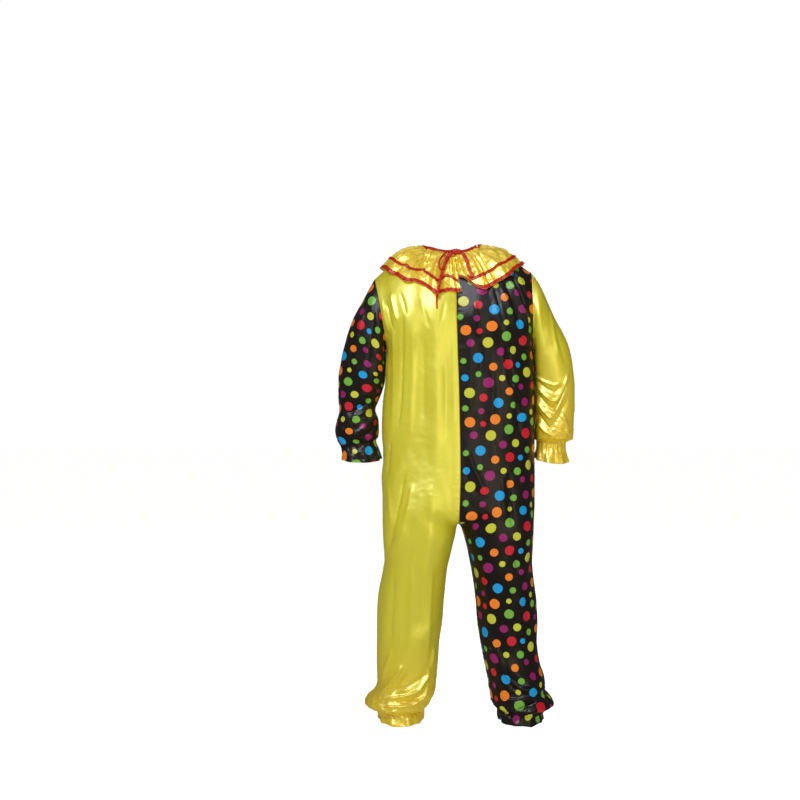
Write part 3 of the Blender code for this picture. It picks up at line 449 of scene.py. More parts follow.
def half_section(side, face, z, shares):
    """Points of one panel at one height, from the centre or inner seam to the side seam."""
    seam = side * smooth(z, SEAM_LINE)
    wide = smooth(z, OUTER[side]) - seam
    deep_back, deep_front = smooth(z, DEPTHS, 1), smooth(z, DEPTHS, 2)
    round_out, round_in = smooth(z, ROUNDNESS, 1), smooth(z, ROUNDNESS, 2)
    if z >= CROTCH_Z:
        shared = smooth(z - CROTCH_Z, LOBE_JOIN) * wide
        half, middle = (wide + shared) / 2, seam + (wide - shared) / 2
        reach = (wide - shared) / (wide + shared)
        start = math.pi - math.acos(min(1.0, reach ** (round_in / 2)))
    else:
        gap = smooth(z, GAP[side])
        half, middle = (wide - gap) / 2, seam + (wide + gap) / 2
        start = math.pi
    angle = np.linspace(start, 0, 241)
    c = np.cos(angle)
    power = 2 / np.where(c < 0, round_in, round_out)
    x = middle + half * np.sign(c) * np.abs(c) ** power
    y = np.abs(np.sin(angle)) ** power * face * (deep_back + deep_front) / 2
    fine = np.stack([x, y + (deep_back - deep_front) / 2], axis=1)
    line = spaced(fine, shares)
    run = spaced(fine, np.clip(shares + 0.01, 0, 1)) - spaced(fine, np.clip(shares - 0.01, 0, 1))
    out = unit(np.stack([-run[:, 1], run[:, 0]], axis=1) * face)
    line = line + out * fold_height(side, face, shares, z)[:, None]
    return np.stack([side * line[:, 0], line[:, 1], np.full(len(line), z)], axis=1)


def neck_quarter(side, face, shares):
    """The neck line from a centre seam to the side of the neck."""
    angle = np.linspace(math.pi / 2, 0, FINE)
    c, s = np.cos(angle), np.sin(angle)
    low, deep = CENTRE[face][0]
    tip = SHOULDER[side][0, 1]
    x = NECK_CENTRE[0] + side * NECK_HALF_WIDTH * c ** 0.9
    x = x + (smooth(0.0, SEAM_LINE) - NECK_CENTRE[0]) * s ** 6
    y = NECK_CENTRE[1] * c + face * NECK_DEPTH[face] * s ** 0.9
    y = y + (face * deep - y[0]) * s
    return spaced(np.stack([x, y, tip + (low - tip) * s ** 2], axis=1), shares)


def shoulder_line(side, shares):
    """The shoulder from the neck line to its tip."""
    table = SHOULDER[side]
    ends = table[[0, -1], 0]
    at = np.linspace(*ends, FINE)
    y = np.interp(at, ends, [NECK_CENTRE[1], 0.0])
    return spaced(np.stack([side * at, y, smooth(at, table)], axis=1), shares)


def armhole(side, face, shares):
    """Half of the armhole, from the shoulder tip to the underarm."""
    ox, oz, ix, iz, deep, level = SLEEVE[side][0]
    c, s = np.cos(math.pi * shares), np.sin(math.pi * shares)
    x = side * ((ox + ix) / 2 + (ox - ix) / 2 * c - ARMHOLE_INSET * s ** 2)
    low = (smooth(UNDERARM_Z, DEPTHS, 1) - smooth(UNDERARM_Z, DEPTHS, 2)) / 2
    y = level + low * shares + face * deep * s
    return np.stack([x, y, (oz + iz) / 2 + (oz - iz) / 2 * c], axis=1)


def yoke(side, face):
    """The part of a panel above the underarm, as rows of points."""
    u, v = even(COLUMNS), even(YOKE_ROWS)
    on_neck = u <= NECK_SHARE
    top = np.concatenate([neck_quarter(side, face, u[on_neck] / NECK_SHARE),
                          shoulder_line(side, (u[~on_neck] - NECK_SHARE) / (1 - NECK_SHARE))])
    z = np.linspace(*CENTRE[face][[0, -1], 0], FINE)
    centre = np.stack([smooth(z, SEAM_LINE), smooth(z, CENTRE[face]) * face, z], axis=1)
    left, right = spaced(centre, v), armhole(side, face, v)
    bottom = half_section(side, face, UNDERARM_Z, u)
    bottom[:, 2] -= UNDERARM_DROP * (1 - u ** 8)
    left[0], right[0] = top[0], top[-1]
    left[-1], right[-1] = bottom[0], bottom[-1]
    grid = []
    for j, b in enumerate(v):
        turn = math.pi / 2 * b
        share = np.array([b, math.sin(turn), 1 - math.cos(turn)])
        row = (1 - share) * top + share * bottom
        row += np.outer(1 - u, left[j] - row[0]) + np.outer(u, right[j] - row[-1])
        row[:, 1] += fold_height(side, face, u, row[:, 2]) * face * math.sin(math.pi * b)
        grid.append(row)
    return grid


def waves(share, count, seed):
    """An uneven wave, count periods long."""
    turn = 2 * math.pi * share
    bend = 0.55 * np.sin(turn * 2.3 + seed) + 0.35 * np.sin(turn * 5.1)
    size = 1 + 0.25 * np.sin(turn * count * 0.37 + seed)
    return np.sin(turn * count + bend * np.sin(math.pi * share)) * size


def eased(grid, rows, columns, rounds):
    """The grid with kinks between its rows smoothed out where rows and columns say so."""
    grid = grid.copy()
    weight = 0.5 * rows[:, None] * columns[None]
    for _ in range(rounds):
        mean = (grid[:-2] + grid[2:]) / 2
        grid[1:-1] += weight[1:-1, :, None] * (mean - grid[1:-1])
    return grid


def panel(side, face):
    """The grid of a body panel, from the neck to the ankle hem."""
    u = even(COLUMNS)
    rows = yoke(side, face)
    for z in np.linspace(UNDERARM_Z, FIRST_LEVEL, 15)[1:]:
        row = half_section(side, face, z, u)
        left = (z - FIRST_LEVEL) / (UNDERARM_Z - FIRST_LEVEL)
        row[:, 2] -= UNDERARM_DROP * (1 - u ** 8) * left
        rows.append(row)
    edge = np.sin(math.pi * u) ** 0.25
    for z in np.concatenate([np.arange(FIRST_LEVEL - ROW_STEP, CROTCH_Z, -ROW_STEP), [CROTCH_Z],
                             np.arange(CROTCH_Z - 0.002, ANKLE_Z, -ROW_STEP),
                             np.arange(ANKLE_Z - 0.001, HEM_Z, -HEM_STEP), [HEM_Z]]):
        row = half_section(side, face, z, u)
        out = row - (row[0] + row[-1]) / 2
        out[:, 2] = 0
        frill = smooth(z, FRILL)
        near = math.exp(-abs(z - GATHER_Z) / (GATHER_ABOVE if z > GATHER_Z else GATHER_BELOW))
        rise = frill * waves(u, FRILL_WAVES, side)
        rise = rise + GATHER_HEIGHT * near * waves(u, ANKLE_GATHERS, 2 * side + (face > 0))
        row += unit(out) * (rise * edge)[:, None]
        row[:, 2] += 0.5 * frill * np.sin(2 * math.pi * 3.1 * u + side) * edge
        row[:, 2] += HEM_RISE * blend(-1.36, -1.45, z) * (HEM_BACK - row[:, 1]) / HEM_DEPTH
        rows.append(row)
    grid = np.array(rows)
    middle = grid[:, COLUMNS // 2, 2]
    grid = eased(grid, blend(-0.40, -0.36, middle) * (1 - blend(-0.31, -0.27, middle)),
                 1 - blend(0.86, 1.0, u), 60)
    return eased(grid, blend(-0.99, -0.93, middle) * (1 - blend(-0.84, -0.78, middle)),
                 blend(0.0, 0.30, u), 90)


# --- Sleeve surface ---
def sleeve(side):
    """The grid of a sleeve, from the armhole to the hem; it opens at the inner seam."""
    table = SLEEVE[side]
    along = lengths((table[:, :2] + table[:, 2:4]) / 2)
    elastic = along[-1 - CUFF_SECTIONS]
    cuff = elastic - CUFF_FINE
    at = np.concatenate([np.linspace(0, cuff, int(along[-1] / SLEEVE_STEP)),
                         np.linspace(cuff, along[-1], CUFF_ROWS)[1:]])
    ox, oz, ix, iz, deep, level = (
        smooth(at, np.stack([along, table[:, k]], axis=1))[:, None] for k in range(6))
    share = even(SLEEVE_COLUMNS)
    c, s = np.cos(math.pi + 2 * math.pi * share), np.sin(math.pi + 2 * math.pi * share)
    flat_c, flat_s = (np.sign(k) * np.abs(k) ** SLEEVE_BOX for k in (c, s))
    grid = np.stack([side * ((ox + ix) / 2 + (ox - ix) / 2 * flat_c), level + deep * flat_s,
                     (oz + iz) / 2 + (oz - iz) / 2 * flat_c], axis=2)
    # the first row is the armhole itself
    way = np.abs(2 * share - 1)     # 1 at the inner seam, 0 at the outer point
    first = np.where((s > 0)[:, None], armhole(side, BACK, way), armhole(side, FRONT, way))
    grid += (first - grid[0]) * (1 - blend(0, along[1] * 1.15, at))[:, None, None]
    out = grid - grid.mean(axis=1, keepdims=True)
    out[..., 2] = 0
    below = blend(elastic, along[-1], at)[:, None]
    near = np.exp(-np.abs(at - elastic) / np.where(at < elastic, CUFF_ABOVE, CUFF_BELOW))[:, None]
    rise = CUFF_FRILL * below * waves(share, CUFF_WAVES, side)
    rise = rise + CUFF_GATHER_HEIGHT * near * waves(share, CUFF_GATHERS, 3 + side)
    grid += unit(out) * rise[..., None]
    grid[..., 2] -= CUFF_SAG * below * np.maximum(0, s)
    grid[:, -1] = grid[:, 0]
    return grid


# --- Creases ---
def grid_normals(grid, turned=False, closed=False):
    """Outward unit normals of a grid of points."""
    across, down = np.gradient(grid, axis=1), np.gradient(grid, axis=0)
    if closed:
        across[:, [0, -1]] = (grid[:, 1] - grid[:, -2])[:, None] / 2
    return unit(np.cross(down, across) if turned else np.cross(across, down))


def mirrored(table, drop):
    """Similar creases for a side that is turned away: mirrored, lowered and a little softer."""
    return [(height * 0.9, half * 1.15, -lean,
             *(np.reshape(line, (-1, 2)) * (-1, 1) - (0, drop)).ravel())
            for height, half, lean, *line in table]


def crease_height(points, table):
    """Height of a table of creases at points, measured in the (x, z) plane."""
    flat = points[..., [0, 2]].reshape(-1, 2) * 1000
    total = np.zeros(len(flat))
    for height, half, lean, *line in table:
        line = np.reshape(line, (-1, 2)).astype(float)
        low, high = line.min(axis=0) - 5 * half, line.max(axis=0) + 5 * half
        near = np.nonzero(((flat > low) & (flat < high)).all(axis=1))[0]
        p = flat[near]
        along = lengths(line)
        best = np.full(len(p), 1e9)
        share, side = np.zeros(len(p)), np.zeros(len(p))
        for k, run in enumerate(np.diff(line, axis=0)):
            size = np.linalg.norm(run)
            t = np.clip(((p - line[k]) @ run) / size ** 2, 0, 1)
            off = p - line[k] - t[:, None] * run
            far = np.linalg.norm(off, axis=1)
            closer = far < best
            best[closer] = far[closer]
            share[closer] = (along[k] + t[closer] * size) / along[-1]
            side[closer] = np.sign(run[0] * off[closer, 1] - run[1] * off[closer, 0])
        wide = half * (1 + lean * side) * (0.8 + 0.4 * share)
        ends = blend(0, 0.22, share) * (1 - blend(0.75, 1, share))
        total[near] += height / 1000 * ends * (1 + (best / (0.85 * wide)) ** 2) ** -1.5
    return total.reshape(points.shape[:-1])


def uneven(points, size, stretch, seed):
    """Slow noise from -1 to 1 that is longer in z than in x and y."""
    flat = points.reshape(-1, 3) / (size, size, size * stretch) + (0, 0, seed)
    return np.array([noise.noise(Vector(p)) for p in flat]).reshape(points.shape[:-1])


def crumple(points, size, stretch, seed):
    """Noise with sharp crests, as crushed satin has."""
    return 0.45 - 2.2 * np.abs(uneven(points, size, stretch, seed))


def seam_pucker(across, height, seed):
    """A shallow groove along a seam that draws short gathers; across is the distance from it."""
    groove = -SEAM_GROOVE * np.exp(-(across / GROOVE_HALF) ** 2)
    short = np.sin(height * 2 * math.pi / PUCKER_STEP + 2.4 * np.sin(height * 43 + seed)
                   + 1.7 * np.sin(height * 97 + 2 * seed))
    soft = np.clip(0.35 + 0.6 * np.sin(height * 11.3 + seed) + 0.4 * np.sin(height * 31), 0, 1)
    fade = np.exp(-(across / PUCKER_REACH) ** 2) * blend(0.0008, GROOVE_HALF, across)
    return groove + PUCKER_HEIGHT * short * soft * fade


def creased(grid, turned, table, away, face, seed, closed):
    """The grid with its creases, seam gathers and slow unevenness.

    table holds the creases of the face that is looked at, and away those of the other face.
    """
    normals = grid_normals(grid, turned, closed)
    rise = crease_height(grid, table) * blend(0.05, 0.45, normals[..., 1] * face)
    rise += crease_height(grid, away) * blend(0.05, 0.45, -normals[..., 1] * face)
    left = lengths(grid)
    right = left[:, -1:] - left
    z = grid[..., 2]
    crush = 0.3 + 1.3 * blend(-1.30, -1.40, z) * (z < -1.0)
    crush = crush + 1.2 * blend(-0.42, -0.52, z) * (1 - blend(-0.64, -0.70, z)) * closed
    for height, size, stretch, more in UNEVEN:
        rise += height * uneven(grid, size, stretch, seed + more)
    for height, size, stretch, more in CRUSH:
        rise += height * crush * crumple(grid, size, stretch, seed + more)
    rise *= blend(0.0, EDGE_FADE, left) * blend(0.0, EDGE_FADE, right)
    hidden = 0.85 * blend(-0.66, -0.58, z)
    for across, drawn in ((left, 1 - hidden * closed), (right, 1 - hidden)):
        rise += drawn * seam_pucker(across, z, seed)
    top = lengths(grid[:, grid.shape[1] // 2])[:, None]
    rise *= blend(0.0, TOP_FADE, top) * 0.75 + 0.25
    moved = grid + normals * rise[..., None]
    if closed:
        moved[:, -1] = moved[:, 0]
    return moved


# --- Flat cut ---
def filled(at, kept, points):
    """Points for every cell of a line from those of the cells that were kept."""
    return np.stack([rounded(at, at[kept], points[:, k]) for k in (0, 1)], axis=1)


def flat_cut(grid, rows=44, columns=15, rounds=420):
    """The cut of a sheet: its grid laid flat with every length kept as well as can be."""
    j, i = (np.unique(np.linspace(0, size - 1, count).round().astype(int))
            for size, count in zip(grid.shape, (rows, columns)))
    q = grid[np.ix_(j, i)]
    middle = len(i) // 2
    across = lengths(q)
    across -= across[:, middle:middle + 1]
    down = -lengths(q[:, middle])[:, None] * np.ones(len(i))
    flat = np.stack([across, down], axis=2).reshape(-1, 2)
    number = np.arange(len(flat)).reshape(len(j), len(i))
    pairs = ((number[:, :-1], number[:, 1:]), (number[:-1], number[1:]),
             (number[:-1, :-1], number[1:, 1:]), (number[1:, :-1], number[:-1, 1:]))
    a, b = (np.concatenate([p[k].ravel() for p in pairs]) for k in (0, 1))
    space = q.reshape(-1, 3)
    want = np.linalg.norm(space[a] - space[b], axis=1)
    many = np.bincount(np.concatenate([a, b]), minlength=len(flat))[:, None]
    for _ in range(rounds):
        gap = flat[b] - flat[a]
        size = np.linalg.norm(gap, axis=1)
        pull = gap * ((size - want) / size * 0.5)[:, None]
        move = np.zeros_like(flat)
        np.add.at(move, a, pull)
        np.add.at(move, b, -pull)
        flat += 1.6 * move / many
    flat = flat.reshape(len(j), len(i), 2)
    wide = np.stack([filled(lengths(grid[row]), i, line) for row, line in zip(j, flat)])
    return np.stack([filled(lengths(grid[:, c]), j, wide[:, c])
                     for c in range(grid.shape[1])], axis=1)


# --- Meshes of cloth ---
def shell(name, grid, normals, flat, wall, materials, closed=False, turned=False):
    """A closed wall round a grid of points, with its cut as the UV map."""
    rows, count = grid.shape[:2]
    kept = count - 1 if closed else count
    total = rows * kept
    number = np.arange(total).reshape(rows, kept)
    left = np.arange(count - 1)
    right = (left + 1) % kept
    faces, maps, slots = [], [], []

    def add(corners, uvs, slot=0, back=False):
        corners = np.stack(corners, axis=-1).reshape(-1, 4)
        uvs = np.stack(uvs, axis=-2).reshape(-1, 4, 2)
        if back != turned:
            corners, uvs = corners[:, ::-1], uvs[:, ::-1]
        faces.append(corners)
        maps.append(uvs)
        slots.append(np.full(len(corners), slot))

    def rim(a, b, uv_a, uv_b, back):
        add((a, b, b + total, a + total), (uv_a, uv_b, uv_b, uv_a), back=back)

    quad = [number[:-1][:, left], number[:-1][:, right], number[1:][:, right], number[1:][:, left]]
    uv = (flat[:-1, :-1], flat[:-1, 1:], flat[1:, 1:], flat[1:, :-1])
    add(quad, uv)
    add([c + total for c in quad], uv, len(materials) - 1, back=True)
    for k, back in ((0, True), (-1, False)):
        rim(number[k][left], number[k][right], flat[k, :-1], flat[k, 1:], back)
    if not closed:
        for k, back in ((0, False), (-1, True)):
            rim(number[:-1, k], number[1:, k], flat[:-1, k], flat[1:, k], back)
    faces, maps, slots = (np.concatenate(parts) for parts in (faces, maps, slots))
    body, out = grid[:, :kept].reshape(-1, 3), normals[:, :kept].reshape(-1, 3)
    points = np.concatenate([body + out * wall / 2, body - out * wall / 2])
    mesh = bpy.data.meshes.new(name)
    mesh.vertices.add(len(points))
    mesh.loops.add(faces.size)
    mesh.polygons.add(len(faces))
    for where, key, values in (
            (mesh.vertices, "co", points.astype(np.float32)),
            (mesh.loops, "vertex_index", faces.astype(np.int32)),
            (mesh.polygons, "loop_start", np.arange(0, faces.size, 4, dtype=np.int32)),
            (mesh.polygons, "loop_total", np.full(len(faces), 4, dtype=np.int32)),
            (mesh.polygons, "material_index", slots.astype(np.int32))):
        where.foreach_set(key, values.ravel())
    mesh.update(calc_edges=True)
    mesh.uv_layers.new(name="cut").data.foreach_set("uv", maps.astype(np.float32).ravel())
    for material in materials:
        mesh.materials.append(material)
    mesh.shade_smooth()
    made = bpy.data.objects.new(name, mesh)
    bpy.context.collection.objects.link(made)
    return made


def narrowed(grid, by):
    """The grid with its two side edges drawn in, so that seams keep their gap."""
    grid = grid.copy()
    grid[:, 0] += unit(grid[:, 1] - grid[:, 0]) * by
    grid[:, -1] += unit(grid[:, -2] - grid[:, -1]) * by
    return grid


def finish(made, node):
    """Hang a piece under the root, and hide the part of model.glb that it stands for."""
    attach(made, "root")
    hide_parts(node)


# --- Materials ---
class Nodes:
    """Short hands for making a material's nodes."""

    def __init__(self, name):
        self.material = bpy.data.materials.new(name)
        self.material.use_nodes = True
        self.tree = self.material.node_tree
        self.shader = self.tree.nodes["Principled BSDF"]

    def fill(self, made, inputs):
        """Link or set a node's inputs."""
        for key, value in inputs.items():
            if isinstance(value, bpy.types.NodeSocket):
                self.tree.links.new(value, made.inputs[key])
            else:
                made.inputs[key].default_value = value

    def node(self, kind, inputs, output=0, **settings):
        """A new node's output, once its inputs are filled."""
        made = self.tree.nodes.new("ShaderNode" + kind)
        for key, value in settings.items():
            setattr(made, key, value)
        self.fill(made, inputs)
        return made.outputs[output]

    def math(self, operation, *inputs):
        return self.node("Math", dict(enumerate(inputs)), operation=operation)

    def vector(self, operation, *inputs):
        output = "Value" if operation == "LENGTH" else "Vector"
        return self.node("VectorMath", dict(enumerate(inputs)), output, operation=operation)

    def mix(self, factor, a, b):
        a, b = ((*c, 1) if isinstance(c, tuple) else c for c in (a, b))
        return self.node("Mix", {0: factor, 6: a, 7: b}, 2, data_type="RGBA")

    def noise(self, uv, across, down, detail):
        """Noise of so many bumps a metre across and down the cut."""
        spread = self.vector("MULTIPLY", uv, (across, down, 1.0))
        return self.node("TexNoise", {"Vector": spread, "Scale": 1.0, "Detail": detail}, "Fac")

    def bump(self, height, strength, distance):
        self.fill(self.shader, {"Normal": self.node(
            "Bump", {"Height": height, "Strength": strength, "Distance": distance}, "Normal")})


def weave_height(n, uv):
    """Height of a satin weave: long warp floats in a staggered order, and slubs."""
    warp = n.noise(uv, 2600.0, 700.0, 1.0)
    slub = n.noise(uv, 420.0, 14.0, 2.0)
    soft = n.noise(uv, 34.0, 11.0, 3.0)
    return n.math("ADD", n.math("ADD", n.math("MULTIPLY", warp, 0.05),
                                n.math("MULTIPLY", slub, 0.10)), n.math("MULTIPLY", soft, 0.9))


def printed_on(n, uv, ground, faded):
    """The ground with the repeat of dots; the wrong side shows it faded."""
    half = REPEAT / 2000
    for ink, dots in DOTS.items():
        tone = tuple(0.72 * c + 0.02 for c in INKS[ink]) if faded else INKS[ink]
        for x, y, across in dots:
            moved = n.vector("SUBTRACT", uv, (x / 1000, -y / 1000, 0.0))
            wrapped = n.vector("WRAP", moved, (half, half, 1.0), (-half, -half, -1.0))
            inside = n.node("MapRange", {"Value": n.vector("LENGTH", wrapped),
                                         "From Min": across / 2000 + DOT_EDGE,
                                         "From Max": across / 2000 - DOT_EDGE})
            ground = n.mix(inside, ground, tone)
    return ground


def satin(name, colour, deep, shine, lustre, rough, tint, printed=False, wrong_side=False,
          painted_reflection_range=None):
    """Satin: a smooth weave that shines across its warp; painted_reflection_range is the stretch
    down its cut over which its end turns golden by painted light reflected between the gathered
    folds.
    """
    n = Nodes(name)
    uv = n.node("UVMap", {}, uv_map="cut")
    cloud = n.noise(uv, 9.0, 4.0, 3.0)
    thread = n.noise(uv, 900.0, 30.0, 1.0)
    ground = n.mix(n.math("MULTIPLY", cloud, 0.55), colour, deep)
    ground = n.mix(n.math("MULTIPLY", thread, 0.10), ground, deep)
    # painted reflection: golden light bounced between the gathered folds, mixed into the colour
    # toward the end of the cut
    if painted_reflection_range:
        down = n.node("SeparateXYZ", {0: uv}, "Y")
        share = n.node("MapRange", {"Value": down, "From Min": painted_reflection_range[0], "From Max": painted_reflection_range[1],
                                    "To Max": 0.75}, interpolation_type="SMOOTHSTEP")
        ground = n.mix(share, ground, PAINTED_WARM_REFLECTION)
    if printed:
        ground = printed_on(n, uv, ground, wrong_side)
    n.bump(weave_height(n, uv), 0.5 if wrong_side else 0.35, 0.0010)
    n.fill(n.shader, {
        "Base Color": ground,
        "Roughness": n.node("MapRange", {"Value": cloud, "To Min": rough[0], "To Max": rough[1]}),
        "Specular IOR Level": 0.3 if wrong_side else shine,
        "IOR": 1.5 if wrong_side else 1.8,
        "Metallic": lustre,
        "Specular Tint": (*tint, 1),
        "Anisotropic": 0.0 if wrong_side else 0.45,
        "Tangent": n.node("Tangent", {}, direction_type="UV_MAP", uv_map="cut")})
    return n.material


def ribbon_material(name, colour, deep):
    """Narrow woven ribbon with fine ribs."""
    n = Nodes(name)
    uv = n.node("UVMap", {}, uv_map="cut")
    ribs = n.node("TexWave", {"Vector": uv, "Scale": 180.0, "Distortion": 0.4}, "Fac",
                  bands_direction="X")
    n.bump(ribs, 0.25, 0.0003)
    n.fill(n.shader, {"Base Color": n.mix(n.noise(uv, 60.0, 40.0, 2.0), colour, deep),
                      "Roughness": 0.42, "Specular IOR Level": 0.28})
    return n.material


LEMON, AMBER, GREY = (1.0, 1.0, 0.84), (1.0, 0.99, 0.82), (1.0, 0.94, 0.98)
# painted reflection: the golden light bounced between the gathered folds near the wrists and ankles
PAINTED_WARM_REFLECTION = (0.74, 0.47, 0.008)
DULL, BRIGHT = (0.50, 0.62), (0.36, 0.45)
# painted reflection: the body's yellow turns golden toward the ankles; the sleeve's copy is a touch
# more golden all over and turns golden toward the wrist
YELLOW = satin("yellow_satin_face", (0.67, 0.605, 0.008), (0.52, 0.43, 0.004), 0.88, 0.22,
               BRIGHT, LEMON, painted_reflection_range=(-0.90, -1.28))
YELLOW_SLEEVE = satin("yellow_satin_sleeve_face", (0.68, 0.595, 0.008), (0.53, 0.42, 0.004), 0.88,
                      0.22, BRIGHT, LEMON, painted_reflection_range=(-0.15, -0.60))
YELLOW_BACK = satin("yellow_satin_wrong_side", (0.55, 0.49, 0.03), (0.42, 0.35, 0.02), 0.3, 0.0,
                    DULL, LEMON, wrong_side=True)
DOTTED = satin("dotted_satin_face", (0.0060, 0.0042, 0.0030), (0.011, 0.008, 0.006), 0.145, 0.0,
               (0.32, 0.41), GREY, printed=True)
DOTTED_BACK = satin("dotted_satin_wrong_side", (0.02, 0.017, 0.016), (0.03, 0.025, 0.024), 0.3, 0.0,
                    DULL, GREY, printed=True, wrong_side=True)
# the collar's own yellow satin, with painted golden reflected light and painted shade from its
# crowded gathers mixed into its colour
COLLAR_YELLOW_PAINTED_WARM = satin("collar_satin_face", (0.90, 0.66, 0.018), (0.60, 0.33, 0.004), 1.0, 0.30,
             (0.34, 0.43), AMBER)
RED = ribbon_material("red_ribbon_face", (0.47, 0.016, 0.002), (0.34, 0.009, 0.002))

# --- Body and sleeves ---
base_sheets, worn_sheets = [], []


def sew(node, satins, grid, turned, anchor, print_at, *creases, closed=False):
    """Crease a panel or sleeve, give it its wall and print, hang it under the root and hide its
    part.

    The grid point at anchor has the place print_at on the print.
    """
    slot, *materials = satins
    flat = flat_cut(grid)
    if not turned:
        flat = flat * (-1, 1)
    flat = flat - flat[anchor] + print_at
    moved = creased(grid, turned, *creases, closed)
    if not closed:
        moved = narrowed(moved, SEAM_GAP / 2)
    base_sheets.append(grid)
    worn_sheets.append(moved)
    made = shell(node + "_cloth", moved, grid_normals(moved, turned, closed), flat, CLOTH,
                 materials, closed, turned)
    finish(made, node)


BODY_SATINS = {LEFT: ("yellow_satin", YELLOW, YELLOW_BACK),
               RIGHT: ("dotted_satin", DOTTED, DOTTED_BACK)}
SLEEVE_SATINS = {LEFT: BODY_SATINS[RIGHT], RIGHT: ("yellow_satin", YELLOW_SLEEVE, YELLOW_BACK)}
for side, word in ((LEFT, "left"), (RIGHT, "right")):
    for face, part in ((BACK, "back_"), (FRONT, "front_")):
        grid = panel(side, face)
        row = int(np.argmin(np.abs(grid[:, 0, 2] - PRINT_TOP)))
        sew(part + word, BODY_SATINS[side], grid, side != face, (row, 0),
            (0.0, 0.0) if face == BACK else (0.13, -0.06),
            CREASES[side] if face == BACK else mirrored(CREASES[-side], 22), (), face,
            3 * side + (face > 0))
    sew("sleeve_" + word, SLEEVE_SATINS[side], sleeve(side), side > 0, (0, SLEEVE_COLUMNS // 2),
        (0.07, 0.04), SLEEVE_CREASES[side], mirrored(SLEEVE_CREASES[-side], 14), BACK, 11 + side,
        closed=True)


# --- Collar ---
Column = namedtuple("Column", "share line along width lean wave trim")


def tree_of(grids):
    """The faces of some grids, for rays to look for."""
    points, faces = [], []
    for grid in grids:
        number = np.arange(grid[..., 0].size).reshape(grid.shape[:2]) + len(points)
        quad = np.stack([number[:-1, :-1], number[:-1, 1:], number[1:, 1:], number[1:, :-1]], -1)
        points += grid.reshape(-1, 3).tolist()
        faces += quad.reshape(-1, 4).tolist()
    return BVHTree.FromPolygons(points, faces)


def chest(sheets):
    return [grid[:CHEST_ROWS] for grid in sheets]


def collar_columns(body):
    """For each column of the collar: where it lies on the body, its width and its wave."""
    neck = []
    for side, face in ((LEFT, BACK), (LEFT, FRONT), (RIGHT, FRONT), (RIGHT, BACK)):
        quarter = neck_quarter(side, face, even(FINE - 1))
        neck.append(quarter if side == face else quarter[::-1])
    x, y, z = (np.concatenate(neck) - COLLAR_EYE).T
    turn, rise = np.degrees(np.arctan2(x, y)) % 360, np.degrees(np.arctan2(z, np.hypot(x, y)))
    order = np.argsort(turn)
    turn = np.concatenate([turn[order] + full for full in (-360, 0, 360)])
    rise = np.tile(rise[order], 3)
    found = []
    for share in even(COLLAR_COLUMNS):
        base = 360 * share
        clear = math.degrees(OPENING_HALF / NECK_RADIUS) * (1 - 2 * share)
        aside = OPENING_SLANT * math.exp(-(min(base, 360 - base) / 30) ** 2)
        after = next(k for k, r in enumerate(RUFFLES) if r > base)
        part = (base - RUFFLES[after - 1]) / (RUFFLES[after] - RUFFLES[after - 1])
        line, lean = [], 1.0
        top = float(np.interp(base + clear, turn, rise))
        for k, t in enumerate(even(FINE - 1)):
            level = math.radians(top - 0.4 - (top - LOWEST_RAY) * t)
            away = min(1.0, t / 0.6)
            heading = math.radians(base + aside * away + clear * (1 - 0.5 * away))
            way = Vector((math.sin(heading) * math.cos(level),
                          math.cos(heading) * math.cos(level), math.sin(level)))
            hit, normal = body.ray_cast(Vector(COLLAR_EYE), way, 1.0)[:2]
            if hit is None:
                if line:
                    break
                continue
            line.append(tuple(hit))
            if k < 18:
                lean = max(lean, 1 / max(0.5, abs(way @ normal)))
        line = np.array(line)
        found.append(Column(share, line, lengths(line), float(smooth(base, COLLAR_WIDTH)), lean,
                            math.cos(2 * math.pi * part), float(smooth(base, COLLAR_WIDTH, 2))))
    return found


def ridge(angle):
    """A wave with round crests and narrow, softened valleys."""
    return 1.06 - 2 * np.sqrt(np.sin(angle) ** 2 + 0.03)


def gathers(share, t):
    """Fine folds of the gathered neck edge that open toward the free edge."""
    angle = 2 * math.pi * share
    bend = 0.35 * math.sin(9 * angle) * t
    near = ridge(32 * angle + 1.9 * math.sin(5 * angle) + 1.1 * math.sin(13 * angle + 1))
    mid = ridge(15.5 * angle + 1.4 * math.sin(4 * angle + 2) + bend)
    size = 0.75 + 0.4 * math.sin(6 * angle + 1) + 0.25 * math.sin(17 * angle)
    close = NECK_GATHERS * blend(0.02, 0.10, t) * (1 - blend(0.25, 0.75, t))
    far = LOBE_FOLDS * blend(0.08, 0.35, t) * (1 - 0.6 * blend(0.55, 1.0, t))
    return size * (near * close + mid * far)


def stops(column):
    """Distances of the collar's rows from the neck seam."""
    return NECK_EDGE + (column.width - NECK_EDGE) * even(COLLAR_ROWS)


def collar_line(column):
    """The points of one collar column, from the neck seam to the free edge."""
    t = even(COLLAR_ROWS)
    at = between(stops(column), column.along, column.line)
    base = 360 * column.share
    rise = COLLAR_STAND * (column.lean + (1 - column.lean) * t) + COLLAR_LIFT * t ** 0.5
    rise = rise + COLLAR_FRONT * math.sin(math.pi * column.share) ** 4 * blend(0.0, 0.12, t)
    rise = rise + COLLAR_WAVE * t ** 0.9 * column.wave * blend(0.10, 0.45, t)
    pleat = sum(height * math.exp(-((base - middle) / half) ** 2)
                for middle, half, height in PLEATS)
    rise = rise + pleat * t ** 0.8 * blend(0.05, 0.5, t) + gathers(column.share, t)
    return at + unit(at - COLLAR_EYE) * rise[:, None]


